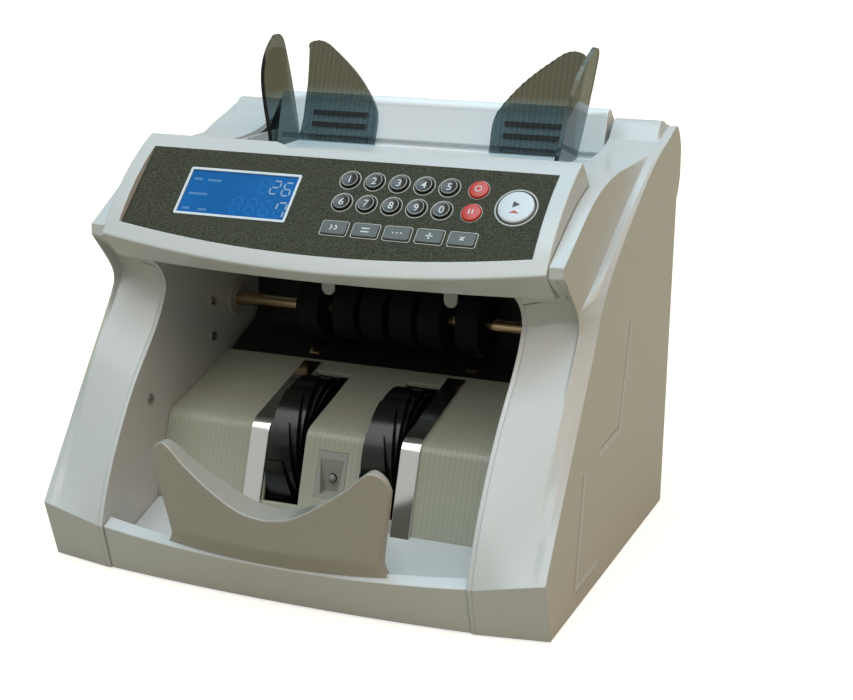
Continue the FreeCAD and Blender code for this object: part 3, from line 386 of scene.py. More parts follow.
def ribbed_plate(name, tint, pitch):
    """Plate plastic with flat lands and narrow grooves that run from front to rear, the grooves bumped and
    darkened with painted shade.
    """
    made, tree, shader, place = start_material(name, Specular_IOR_Level=0.35)
    link = tree.links.new
    surface = use_group(
        tree, moulded_group(), Colour=rgba(tint), Mottle=0.10, Grain_Scale=900.0, Roughness=0.22, Spread=0.10)
    ribs = use_group(tree, ribbed_group(), Pitch=pitch, Groove=0.16)
    link(place, surface.inputs["Vector"])
    link(place, ribs.inputs["Vector"])
    # Painted shade: the grooves take the tint darkened, for the shade that falls in them.
    groove = add(tree, "ShaderNodeMix", data_type="RGBA", blend_type="MIX")
    groove.inputs["A"].default_value = rgba([value * 0.88 for value in tint])
    link(ribs.outputs["Land"], groove.inputs["Factor"])
    link(surface.outputs["Colour"], groove.inputs["B"])
    link(groove.outputs["Result"], shader.inputs["Base Color"])
    link(surface.outputs["Roughness"], shader.inputs["Roughness"])
    add_bump(tree, shader, ribs.outputs["Land"], 0.00008)
    return made


def printed_film(name, ground, speck):
    """Dark film with a fine speckled print."""
    made, tree, shader, place = start_material(name, Specular_IOR_Level=0.05)
    link = tree.links.new
    fine = add(tree, "ShaderNodeTexNoise", inputs={"Scale": 1500.0, "Detail": 1.0, "Roughness": 0.6})
    cloud = add(tree, "ShaderNodeTexNoise", inputs={"Scale": 16.0, "Detail": 2.0})
    link(place, fine.inputs["Vector"])
    dots = add(tree, "ShaderNodeMapRange", interpolation_type="SMOOTHSTEP",
               inputs={"From Min": 0.32, "From Max": 0.76})
    link(fine.outputs["Fac"], dots.inputs["Value"])
    link(blend(tree, dots.outputs["Result"], ground, speck), shader.inputs["Base Color"])
    uneven_gloss(tree, shader, cloud, place, 0.42, 0.58)
    add_bump(tree, shader, fine.outputs["Fac"], 0.00002)
    return made


def lit_pane(name, tint, glow):
    """Lit face or segment of the display, a little uneven in its light."""
    made, tree, shader, place = start_material(
        name, Emission_Strength=glow, Specular_IOR_Level=0.06, Coat_Weight=0.03, Coat_Roughness=0.06)
    cloud = add(tree, "ShaderNodeTexNoise", inputs={"Scale": 45.0, "Detail": 1.0})
    uneven_gloss(tree, shader, cloud, place, 0.28, 0.36)
    light = blend(
        tree, cloud.outputs["Fac"], [value * 0.82 for value in tint],
        [min(value * 1.18, 1.0) for value in tint])
    tree.links.new(light, shader.inputs["Base Color"])
    tree.links.new(light, shader.inputs["Emission Color"])
    return made


def guide_ribs(tree, across):
    """How bright the guides' plastic is across their width, darker on the lines of their ribs with painted
    shade.
    """
    link = tree.links.new
    wide = add(tree, "ShaderNodeMath", operation="ABSOLUTE")
    link(across, wide.inputs[0])
    start = add(tree, "ShaderNodeMath", operation="SUBTRACT", inputs={1: GUIDE_RIB_START})
    link(wide.outputs[0], start.inputs[0])
    row = add(tree, "ShaderNodeCombineXYZ")
    link(start.outputs[0], row.inputs["X"])
    ribs = use_group(tree, ribbed_group(), Pitch=GUIDE_RIB_PITCH, Groove=0.15)
    link(row.outputs[0], ribs.inputs["Vector"])
    flank = add(tree, "ShaderNodeMath", operation="GREATER_THAN", inputs={1: GUIDE_RIB_END})
    link(wide.outputs[0], flank.inputs[0])
    land = add(tree, "ShaderNodeMath", operation="MAXIMUM")
    link(ribs.outputs["Land"], land.inputs[0])
    link(flank.outputs[0], land.inputs[1])
    rib_painted_shade = add(tree, "ShaderNodeMapRange", inputs={"To Min": 0.50})
    link(land.outputs[0], rib_painted_shade.inputs["Value"])
    return rib_painted_shade.outputs["Result"]


def smoked(name, tint, foot_tint_painted_light):
    """See-through ribbed plastic with a slightly uneven gloss; its tint is partly its own and partly painted
    light, warmer above for the room seen through it, cooler and clearer towards its foot for the bright back
    plate seen through it.
    """
    made, tree, shader, place = start_material(name, Transmission_Weight=1.0, IOR=1.2, Coat_Weight=0.5)
    link = tree.links.new
    cloud = add(tree, "ShaderNodeTexNoise", inputs={"Scale": 60.0, "Detail": 2.0})
    uneven_gloss(tree, shader, cloud, place, 0.02, 0.07)
    parts = add(tree, "ShaderNodeSeparateXYZ")
    link(place, parts.inputs[0])
    # Painted light: the tint changes with height across the back plate's top edge.
    low, high = GUIDE_PAINTED_LIGHT_HEIGHTS
    rise = add(tree, "ShaderNodeMapRange", inputs={"From Min": low, "From Max": high})
    link(parts.outputs["Z"], rise.inputs["Value"])
    # Painted shade on the ribs' lines darkens the painted light of the tint.
    tint_with_painted_light_and_shade = add(tree, "ShaderNodeMix", data_type="RGBA", blend_type="MULTIPLY", inputs={"Factor": 1.0})
    link(blend(tree, rise.outputs["Result"], foot_tint_painted_light, tint), tint_with_painted_light_and_shade.inputs["A"])
    link(guide_ribs(tree, parts.outputs["X"]), tint_with_painted_light_and_shade.inputs["B"])
    link(tint_with_painted_light_and_shade.outputs["Result"], shader.inputs["Base Color"])
    rays = add(tree, "ShaderNodeLightPath")
    clear = add(tree, "ShaderNodeBsdfTransparent", inputs={"Color": (0.80, 0.92, 0.95, 1.0)})
    mix = add(tree, "ShaderNodeMixShader")
    link(rays.outputs["Is Shadow Ray"], mix.inputs[0])
    link(shader.outputs[0], mix.inputs[1])
    link(clear.outputs[0], mix.inputs[2])
    link(mix.outputs[0], tree.nodes["Material Output"].inputs["Surface"])
    return made


def finish(name):
    """The finish of one kind of piece, built the first time that it is used."""
    label = "finish_" + name
    if label in bpy.data.materials:
        return bpy.data.materials[label]
    hues = bpy.context.scene.counter_colours
    sizes = bpy.context.scene.counter_sizes
    makers = {
        "shell_plastic": lambda: moulded(
            label, hues.shell, 0.20, spread=0.06, depth=0.00001, edge=sizes.edge_round),
        "tray_plastic": lambda: moulded(label, hues.shell, 0.20, spread=0.06, depth=0.00001),
        "stop_plastic": lambda: moulded(label, hues.stop, 0.18, mottle=0.04, depth=0.00001, spread=0.05),
        "back_plastic": lambda: moulded(label, hues.back, 0.18, spread=0.06, depth=0.00001),
        "plate_plastic": lambda: ribbed_plate(label, hues.plate, sizes.rib_pitch),
        "sensor_plastic": lambda: moulded(label, (0.30, 0.30, 0.26), 0.5),
        "bearing_plastic": lambda: moulded(label, (0.42, 0.40, 0.36), 0.40),
        "overlay_film": lambda: printed_film(label, hues.film, hues.speck),
        "silver_print": lambda: moulded(label, hues.silver, 0.42, mottle=0.05),
        "white_print": lambda: moulded(label, hues.white_print, 0.36, mottle=0.05),
        "dark_print": lambda: moulded(label, (0.045, 0.036, 0.034), 0.45, mottle=0.05),
        "groove_shade": lambda: moulded(label, hues.groove, 0.55),
        # Painted light for the grooves' floors.
        "groove_floor": lambda: moulded(label, hues.groove_floor, 0.45),
        "display_pane": lambda: lit_pane(label, hues.display, 0.35),
        "dark_segment": lambda: lit_pane(label, hues.ghost, 0.25),
        "lit_segment": lambda: lit_pane(label, hues.segment, 0.10),
        "dim_segment": lambda: lit_pane(label, hues.dim, 0.10),
        "number_key": lambda: moulded(label, hues.number_key, 0.26, grain=2600.0),
        "red_key": lambda: moulded(label, hues.red_key, 0.30, grain=2600.0),
        "white_key": lambda: moulded(label, hues.white_key, 0.32, grain=2600.0),
        "grey_key": lambda: moulded(label, hues.grey_key, 0.40, grain=2600.0),
        "legend_print": lambda: moulded(label, hues.legend, 0.45, mottle=0.05),
        "red_print": lambda: moulded(label, hues.red_key, 0.45, mottle=0.05),
        "rubber": lambda: moulded(
            label, hues.rubber, 0.75, grain=3000.0, depth=0.00006, Specular_IOR_Level=0.2),
        "leaf_rubber": lambda: moulded(label, hues.rubber, 0.20, grain=500.0, spread=0.14),
        "black_plastic": lambda: moulded(label, hues.black_plastic, 0.42),
        "shaft_brass": lambda: drawn(label, hues.brass, 0.20, (240.0, 4.0, 4.0), spread=0.06),
        "wear_steel": lambda: drawn(label, hues.steel, 0.09, (2200.0, 60.0, 60.0), spread=0.10),
        "screw_steel": lambda: drawn(label, (0.42, 0.41, 0.38), 0.28, (700.0, 700.0, 700.0)),
        "base_steel": lambda: drawn(label, (0.46, 0.47, 0.48), 0.38, (30.0, 900.0, 900.0)),
        "motor_steel": lambda: drawn(label, (0.38, 0.38, 0.37), 0.30, (20.0, 600.0, 600.0)),
        "smoked_plastic": lambda: smoked(label, hues.smoke, hues.smoke_low),
        "dark_glass": lambda: moulded(
            label, (0.010, 0.008, 0.007), 0.08, spread=0.04, depth=0.0, Specular_IOR_Level=0.3),
        "board_green": lambda: moulded(label, (0.020, 0.105, 0.042), 0.40, mottle=0.3),
        "board_black": lambda: moulded(label, (0.016, 0.019, 0.018), 0.45, mottle=0.3),
        "winding_tape": lambda: moulded(label, (0.50, 0.36, 0.05), 0.45, mottle=0.3),
    }
    return makers[name]()


# Mesh helpers

def body_of(node):
    """The body that a node rides on."""
    return frame["nodes"][node]["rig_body"]


def piece(name, bm, look, body, nodes=(), smooth=32.0):
    """A finished object from a bmesh, riding on a body and standing for nodes."""
    mesh = bpy.data.meshes.new(name)
    bm.to_mesh(mesh)
    bm.free()
    if "custom_normal" in mesh.attributes:
        mesh.attributes.remove(mesh.attributes["custom_normal"])
    mesh.materials.append(finish(look))
    mesh.shade_smooth()
    mesh.set_sharp_from_angle(angle=math.radians(smooth))
    made = bpy.data.objects.new(name, mesh)
    bpy.context.scene.collection.objects.link(made)
    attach(made, body)
    if nodes:
        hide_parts(*nodes)
    return made


def copy_of(node):
    """A merged copy of a node's mesh."""
    bm = bmesh.new()
    bm.from_mesh(frame["nodes"][node].data)
    bmesh.ops.remove_doubles(bm, verts=bm.verts, dist=MERGE)
    return bm


def dressed(node, bm, look):
    """The dressed piece that stands for a node, evenly shaded over its rounded edges."""
    made = piece(node + "_dressed", bm, look, body_of(node), nodes=(node,), smooth=40.0)
    made.modifiers.new("weighted", "WEIGHTED_NORMAL").keep_sharp = True
    return made


def round_edges(bm, edges, radius, clamp):
    """Rounds edges of a mesh by a radius in millimetres."""
    bmesh.ops.bevel(
        bm, geom=edges, offset=radius * MM, offset_type="OFFSET", segments=3, profile=0.5, affect="EDGES",
        clamp_overlap=clamp, material=-1)


def dress(node, look, radius, pick=None):
    """A copy of a node with its sharp edges rounded, or those of them that are picked."""
    bm = copy_of(node)
    bmesh.ops.dissolve_limit(
        bm, angle_limit=math.radians(0.5), use_dissolve_boundaries=False, verts=bm.verts, edges=bm.edges)
    sharp = [
        edge for edge in bm.edges
        if len(edge.link_faces) == 2 and edge.calc_face_angle(0.0) > math.radians(35.0)
        and (pick is None or pick(edge))
    ]
    round_edges(bm, sharp, radius, False)
    return dressed(node, bm, look)


def paint(node, look):
    """Gives a node its finish and keeps its mesh."""
    node_mesh = frame["nodes"][node].data
    node_mesh.materials.clear()
    node_mesh.materials.append(finish(look))


def spun(profile, place, steps=40):
    """A closed round piece: a profile of radius and height, spun about the place's own Z."""
    bm = bmesh.new()
    verts = [bm.verts.new((radius * MM, 0.0, height * MM)) for radius, height in profile]
    edges = [bm.edges.new(pair) for pair in zip(verts, verts[1:])]
    bmesh.ops.spin(
        bm, geom=verts + edges, cent=(0, 0, 0), axis=(0, 0, 1), angle=math.tau, steps=steps, use_merge=True)
    bmesh.ops.remove_doubles(bm, verts=bm.verts, dist=MERGE)
    bmesh.ops.recalc_face_normals(bm, faces=bm.faces)
    bmesh.ops.transform(bm, matrix=place, verts=bm.verts)
    return bm


def on_console(u, v, w=0.0):
    """A place on the overlay."""
    return CONSOLE @ Matrix.Translation((u * MM, v * MM, w * MM))


def turned(degrees):
    """A turn in a place's own plane."""
    return Matrix.Rotation(math.radians(degrees), 4, "Z")


def join(target, source):
    """Adds one bmesh to another."""
    spare = bpy.data.meshes.new("spare")
    source.to_mesh(spare)
    source.free()
    target.from_mesh(spare)
    bpy.data.meshes.remove(spare)


def ring(outer, width, rise, place):
    """A flat raised ring of print, also used for the painted highlight on the number keys' rims."""
    inner = outer - width
    edge = 0.05
    return spun(
        [(inner, 0.0), (inner, rise - edge), (inner + edge, rise), (outer - edge, rise),
         (outer, rise - edge), (outer, 0.0), (inner, 0.0)], place, 56)


def rounded_loop(width, height, corner):
    """Points round a rectangle with round corners, in millimetres."""
    points = []
    steps = 6
    for index, (side_x, side_y) in enumerate(((1, 1), (-1, 1), (-1, -1), (1, -1))):
        for step in range(steps + 1):
            angle = QUARTER * (index + step / steps)
            points.append((
                side_x * (width / 2 - corner) + corner * math.cos(angle),
                side_y * (height / 2 - corner) + corner * math.sin(angle)))
    return points


def wall(bm, low, high):
    """Faces between two closed rows of vertices."""
    for index in range(len(low)):
        after = (index + 1) % len(low)
        bm.faces.new((low[index], low[after], high[after], high[index]))


def panel_frame(width, height, corner, band, rise, place):
    """A raised frame of print round a panel."""
    bm = bmesh.new()
    outer = rounded_loop(width, height, corner)
    inner = rounded_loop(width - 2 * band, height - 2 * band, max(corner - band, 0.15))
    rows = [
        [bm.verts.new((x * MM, y * MM, z * MM)) for x, y in points]
        for points, z in ((outer, 0.0), (outer, rise), (inner, rise), (inner, 0.0))
    ]
    for low, high in zip(rows, rows[1:] + rows[:1]):
        wall(bm, low, high)
    bmesh.ops.recalc_face_normals(bm, faces=bm.faces)
    bmesh.ops.transform(bm, matrix=place, verts=bm.verts)
    return bm


def bar(bm, span, thick, rise, place):
    """A flat bar with pointed ends."""
    made = bmesh.ops.create_circle(bm, cap_ends=True, radius=1.0, segments=6)
    verts = made["verts"]
    for vert in verts:
        side = 1.0 if vert.co.x > 0 else -1.0
        tip = abs(vert.co.y) < 0.1
        vert.co.x = side * (span / 2 if tip else (span - thick) / 2) * MM
        vert.co.y = 0.0 if tip else math.copysign(thick / 2, vert.co.y) * MM
    lifted = bmesh.ops.extrude_face_region(bm, geom=list(verts[0].link_faces))
    top = [item for item in lifted["geom"] if isinstance(item, bmesh.types.BMVert)]
    bmesh.ops.translate(bm, vec=(0.0, 0.0, rise * MM), verts=top)
    bmesh.ops.transform(bm, matrix=place, verts=verts + top)


def block(bm, low, high):
    """Adds an upright block between two corners in millimetres."""
    verts = bmesh.ops.create_cube(bm, size=1.0)["verts"]
    low = Vector(low) * MM
    high = Vector(high) * MM
    bmesh.ops.scale(bm, vec=high - low, verts=verts)
    bmesh.ops.translate(bm, vec=(low + high) / 2, verts=verts)


def through(points, share):
    """A point on a smooth curve through flat points, at a share of its length along their chords."""
    points = [Vector(point) for point in points]
    chords = [(after - before).length for before, after in zip(points, points[1:])]
    rest = share * sum(chords)
    index = 0
    while index < len(chords) - 1 and rest > chords[index]:
        rest -= chords[index]
        index += 1
    chord = chords[index]

    def pull(middle):
        low = max(middle - 1, 0)
        high = min(middle + 1, len(points) - 1)
        return (points[high] - points[low]) * chord / sum(chords[low:high])

    step = rest / chord
    start = points[index]
    end = points[index + 1]
    return (start * (2 * step ** 3 - 3 * step ** 2 + 1) + end * (3 * step ** 2 - 2 * step ** 3)
            + pull(index) * (step ** 3 - 2 * step ** 2 + step) + pull(index + 1) * (step ** 3 - step ** 2))


def lettering(text, size, bold):
    """A mesh of type, centred on the origin."""
    curve = bpy.data.curves.new("type", "FONT")
    curve.body = text
    curve.size = size
    curve.offset = bold
    curve.align_x = "CENTER"
    curve.align_y = "CENTER"
    spare = bpy.data.objects.new("type", curve)
    bpy.context.scene.collection.objects.link(spare)
    bpy.context.view_layer.update()
    mesh = bpy.data.meshes.new_from_object(spare)
    bm = bmesh.new()
    bm.from_mesh(mesh)
    bpy.data.objects.remove(spare)
    bpy.data.curves.remove(curve)
    bpy.data.meshes.remove(mesh)
    low = min(vert.co.y for vert in bm.verts)
    high = max(vert.co.y for vert in bm.verts)
    left = min(vert.co.x for vert in bm.verts)
    right = max(vert.co.x for vert in bm.verts)
    bmesh.ops.translate(bm, vec=(-(left + right) / 2, -(low + high) / 2, 0.0), verts=bm.verts)
    return bm


# Operators

class COUNTER_OT_covers(Operator):
    """Side covers and side frames of the machine"""

    bl_idname = "counter.covers"
    bl_label = "Side covers"

    # Side view of the grooves, and where the lining meets the skin under the nose.
    SEAM = ((30.7, 130.4), (26.0, 115.1), (17.8, 89.7), (13.2, 73.8), (-3.9, 73.4), (-24.5, 72.7))
    GRIP = ((-47.5, 70.7), (-53.2, 42.3), (-58.8, 12.0), (-22.4, 12.4))
    NOSE = (
        ((128.5, -59.97, 169.03), (128.5, -57.19, 166.97), (128.5, -53.31, 164.38), (128.5, -49.77, 162.05),
         (128.5, -46.32, 159.61)),
        ((129.8, -60.87, 169.94), (129.8, -58.21, 167.93), (129.8, -54.51, 165.42), (129.8, -50.41, 162.76),
         (129.8, -46.43, 159.98)),
    )
    CHIN = (
        (106.0, -48.07, 155.8), (115.27, -45.37, 155.8), (110.67, -45.15, 154.53), (106.0, -44.99, 153.29))

    # Length of a groove's faces, the width of its side strip of painted shade, how far the floor strip and
    # the side strip stand off the skin, and a place well outside the cover.
    STRIDE = 3.0
    SIDE_WIDTH = 0.5
    FLOOR_RISE = 0.04
    SIDE_RISE = 0.07
    OUTSIDE = 200.0

    def groove(self, bm, skin, sign, points, width, shift, rise):
        """Adds a strip beside points in side view, laid on the cover's outer skin."""
        path = []
        for start, end in zip(points, points[1:]):
            low = Vector(start)
            high = Vector(end)
            count = max(int((high - low).length / self.STRIDE), 1)
            path.extend(low.lerp(high, step / count) for step in range(count))
        path.append(Vector(points[-1]))
        rows = []
        for index, point in enumerate(path):
            along = (path[min(index + 1, len(path) - 1)] - path[max(index - 1, 0)]).normalized()
            across = Vector((-along.y, along.x))
            row = []
            for y, z in (point + across * (shift - width / 2), point + across * (shift + width / 2)):
                start = Vector((sign * self.OUTSIDE * MM, y * MM, z * MM))
                hit = skin.ray_cast(start, Vector((-sign, 0.0, 0.0)))[0]
                if hit is None:
                    raise RuntimeError("A groove leaves the cover's side")
                row.append(bm.verts.new(hit + Vector((sign * rise * MM, 0.0, 0.0))))
            rows.append(row)
        for low, high in zip(rows, rows[1:]):
            bm.faces.new((low[0], low[1], high[1], high[0]))

    def closing(self, bm, sign):
        """Adds the skin where the lining meets it under the nose."""
        def vert(point):
            return bm.verts.new((sign * point[0] * MM, point[1] * MM, point[2] * MM))

        inner = [vert(point) for point in self.NOSE[0]]
        outer = [vert(point) for point in self.NOSE[1]]
        for index in range(len(inner) - 1):
            bm.faces.new((inner[index], inner[index + 1], outer[index + 1], outer[index]))
        bm.faces.new([vert(point) for point in self.CHIN])

    def execute(self, context):
        wide = context.scene.counter_sizes.groove_width / MM
        # Each groove is two strips laid on the skin, not cut into it: a floor strip painted with the light
        # that a groove's floor catches, and a narrow side strip painted with the shade of its side.
        strips = (
            ("_grooves", "groove_floor", wide, 0.0, self.FLOOR_RISE),
            ("_groove_sides", "groove_shade", self.SIDE_WIDTH, -wide / 2, self.SIDE_RISE),
        )
        for side, sign in SIDES:
            node = side + "_cover"
            paint(node, "shell_plastic")
            paint(side + "_side_frame", "shell_plastic")
            cover = copy_of(node)
            skin = BVHTree.FromBMesh(cover)
            cover.free()
            for name, look, *laid in strips:
                bm = bmesh.new()
                self.groove(bm, skin, sign, self.SEAM, *laid)
                self.groove(bm, skin, sign, self.GRIP, *laid)
                piece(node + name, bm, look, body_of(node))
            bm = bmesh.new()
            self.closing(bm, sign)
            piece(node + "_closing", bm, "shell_plastic", body_of(node))
        paint("wall_screws", "screw_steel")
        dress("shaft_bearings", "bearing_plastic", 0.4)
        return {"FINISHED"}


class COUNTER_OT_stacker(Operator):
    """Tray, note stop, ribbed plate, wear strips and sensor of the pocket"""

    bl_idname = "counter.stacker"
    bl_label = "Stacker"

    # Half of the note stop's front view, from notch to ear and from foot to ear.
    BROW = ((0.0, 51.5), (12.0, 53.2), (26.5, 60.5), (45.0, 73.5), (57.0, 83.2), (64.0, 80.2), (67.0, 74.0))
    FLANK = ((67.0, 16.7), (67.0, 24.0), (62.8, 25.6), (59.8, 29.5), (59.5, 34.0), (64.0, 58.0), (67.0, 74.0))
    HALF = 67.0
    FOOT = 16.7

    # Its front and back in plan, at the ends and in the middle, its lean, and its tuck's height and slope.
    FRONT = (-110.25, -119.75)
    BACK = (-107.25, -101.25)
    LEAN = 10.0 / 70.5
    CREASE = 34.0
    TUCK = 0.42

    # Faces across and up, how they draw together towards the foot, and the height from which its rim is
    # rounded, the angle of the edges that are, and their radius.
    COLUMNS = 72
    ROWS = 26
    CROWD = 1.25
    RIM_FOOT = 31.0
    RIM_ANGLE = math.radians(40.0)
    RIM_RADIUS = 1.5

    # Middle of the sensor's lens, and its radius and height from rim to tip.
    LENS = Vector((0.0, -45.75 * MM, 47.0 * MM))
    LENS_PROFILE = ((0.0, 0.0), (2.5, 0.0), (2.3, 0.9), (1.5, 1.9), (0.0, 2.5))

    def depth(self, ends, x, z):
        """How far back the front or back lies, on its bow and lean, the front tucked in at the foot."""
        end, middle = ends
        bow = (x / self.HALF) ** 2
        tuck = self.TUCK * max(self.CREASE - z, 0.0) * (1.0 - bow) if ends is self.FRONT else 0.0
        return middle + (end - middle) * bow - self.LEAN * (z - self.FOOT) + tuck

    def stop_point(self, across, up, back):
        """A point of the stop's front or back, from shares of its width and height."""
        side = math.copysign(1.0, across)
        brow = through(self.BROW, abs(across))
        flank = through(self.FLANK, up)
        foot = Vector((self.HALF * abs(across), self.FOOT))
        corner = Vector(self.FLANK[0]).lerp(Vector(self.FLANK[-1]), up)
        x, z = foot.lerp(brow, up) + (flank - corner) * abs(across) ** 3
        return Vector((side * x, self.depth(self.BACK if back else self.FRONT, x, z), z)) * MM

    def note_stop(self):
        """The bowed stop with its notch and two ears, its rim rounded."""
        bm = bmesh.new()
        bmesh.ops.create_grid(bm, x_segments=self.COLUMNS, y_segments=self.ROWS, size=1.0)
        lifted = bmesh.ops.extrude_face_region(bm, geom=list(bm.faces))
        for item in lifted["geom"]:
            if isinstance(item, bmesh.types.BMVert):
                item.co.z = 1.0
        for vert in bm.verts:
            across, up, back = vert.co
            vert.co = self.stop_point(across, ((up + 1.0) / 2) ** self.CROWD, back > 0.5)
        bmesh.ops.recalc_face_normals(bm, faces=bm.faces)
        rim = [
            edge for edge in bm.edges
            if edge.calc_face_angle(0.0) > self.RIM_ANGLE
            and min(vert.co.z for vert in edge.verts) > self.RIM_FOOT * MM
        ]
        round_edges(bm, rim, self.RIM_RADIUS, True)
        return bm

    def execute(self, context):
        dress("stacker_tray", "tray_plastic", 0.8)
        dressed("note_stop", self.note_stop(), "stop_plastic")
        dress("stacker_plate", "plate_plastic", 0.5)
        dress("wear_strips", "wear_steel", 0.4)
        paint("stacker_sensor", "sensor_plastic")
        forward = Matrix.Translation(self.LENS) @ Matrix.Rotation(QUARTER, 4, "X")
        lens = spun(self.LENS_PROFILE, forward)
        piece("sensor_lens", lens, "dark_glass", "machine", smooth=80.0)
        return {"FINISHED"}


class COUNTER_OT_wheels(Operator):
    """Leaf wheels that lay the notes in the pocket"""

    bl_idname = "counter.wheels"
    bl_label = "Stacker wheels"

    # The shaft's place in side view, and along it where each wheel starts and how wide it is.
    AXIS = Vector((0.0, -11.25 * MM, 47.0 * MM))
    STARTS = (("left", -37.0), ("right", 19.0))
    WIDE = 18.0
    BORE = 4.0
    HUB = 13.0
    HUB_EDGE = 0.6
    RIM = 42.3

    # Leaves of a wheel, faces along one, its sweep, how it rises to the rim, thins and narrows.
    LEAVES = 12
    STEPS = 26
    SWEEP = math.radians(190.0)
    ROOT_DEPTH = 1.0
    RISE = 1.7
    ROOT_SHEETS = 1.5
    THINNING = 0.7
    NARROWING = 0.45

    def leaf(self, bm, turn, x_from, sheet):
        """One thin leaf, wide at the hub, trailing round and narrowing to the rim."""
        rows = []
        for step in range(self.STEPS + 1):
            share = step / self.STEPS
            outer = self.RIM - (self.RIM - self.HUB + self.ROOT_DEPTH) * (1.0 - share) ** self.RISE
            inner = outer - sheet * (self.ROOT_SHEETS - self.THINNING * share)
            angle = turn - self.SWEEP * share
            x_to = x_from + self.WIDE * (1.0 - self.NARROWING * share ** 5)
            rows.append([
                bm.verts.new((x * MM, math.cos(angle) * radius * MM, math.sin(angle) * radius * MM))
                for x, radius in ((x_from, outer), (x_to, outer), (x_to, inner), (x_from, inner))])
        for low, high in zip(rows, rows[1:]):
            wall(bm, low, high)
        bm.faces.new(rows[0])
        bm.faces.new(rows[-1])

    def execute(self, context):
        sheet = context.scene.counter_sizes.leaf_sheet / MM
        shoulder = self.HUB - self.HUB_EDGE
        hub = (
            (self.BORE, 0.0), (shoulder, 0.0), (self.HUB, self.HUB_EDGE),
            (self.HUB, self.WIDE - self.HUB_EDGE), (shoulder, self.WIDE), (self.BORE, self.WIDE),
            (self.BORE, 0.0),
        )
        for side, x_from in self.STARTS:
            bm = bmesh.new()
            for index in range(self.LEAVES):
                self.leaf(bm, math.tau * index / self.LEAVES, x_from, sheet)
            bmesh.ops.recalc_face_normals(bm, faces=bm.faces)
            bmesh.ops.translate(bm, vec=self.AXIS, verts=bm.verts)
            start = Matrix.Translation(self.AXIS + Vector((x_from * MM, 0.0, 0.0)))
            join(bm, spun(hub, start @ Matrix.Rotation(QUARTER, 4, "Y"), 48))
            node = side + "_stacker_wheel"
            piece(node + "_leaves", bm, "leaf_rubber", body_of(node), nodes=(node,), smooth=40.0)
        return {"FINISHED"}


class COUNTER_OT_transport(Operator):
    """Shafts, rollers, paper guide and tabs over the pocket"""

    bl_idname = "counter.transport"
    bl_label = "Transport"

    def execute(self, context):
        for node in ("transport_shaft", "stacker_shaft", "feed_shaft"):
            paint(node, "shaft_brass")
        dress("transport_rollers", "rubber", 1.2)
        dress("feed_rollers", "rubber", 1.0)
        paint("paper_guide", "black_plastic")
        dress("guide_tabs", "shell_plastic", 0.4)
        paint("spring_tabs", "shaft_brass")
        return {"FINISHED"}


class COUNTER_OT_console(Operator):
    """Console housing and its printed overlay, with rings and frames"""

    bl_idname = "counter.console"
    bl_label = "Console"

    # The overlay's seat in its own plane, and how far below it the housing's rim goes.
    SEAT_HALF = 117.0
    SEAT_TOP = 52.5
    SEAT_FOOT = -10.2
    RIM_FOOT = -30.0

    # Radius of the rings, and width of those that differ; width, height, corner and band of the frames.
    NUMBER_RING = 6.0
    RED_RING = (5.75, 0.3)
    START_RING = (11.2, 0.8)
    FUNCTION_FRAME = (15.4, 9.4, 1.6, 0.45)

    def on_rim(self, edge):
        """Whether an edge of the housing lies outside the overlay's seat."""
        middle = CONSOLE.inverted() @ ((edge.verts[0].co + edge.verts[1].co) / 2)
        u, v, w = middle / MM
        return w > self.RIM_FOOT and (abs(u) > self.SEAT_HALF or v > self.SEAT_TOP or v < self.SEAT_FOOT)

    def execute(self, context):
        sizes = context.scene.counter_sizes
        dress("console_housing", "shell_plastic", 1.0, pick=self.on_rim)
        paint("face_overlay", "overlay_film")
        rise = sizes.print_rise / MM
        band = sizes.ring_width / MM
        bm = bmesh.new()
        for *_, u, v in NUMBER_KEYS:
            join(bm, ring(self.NUMBER_RING, band, rise, on_console(u, v)))
        for _, u, v in RED_KEYS:
            join(bm, ring(*self.RED_RING, rise, on_console(u, v)))
        join(bm, ring(*self.START_RING, rise, on_console(*START_KEY[1:])))
        for _, u, v in FUNCTION_KEYS:
            join(bm, panel_frame(*self.FUNCTION_FRAME, rise, on_console(u, v)))
        piece("overlay_rings", bm, "silver_print", "machine")
        return {"FINISHED"}


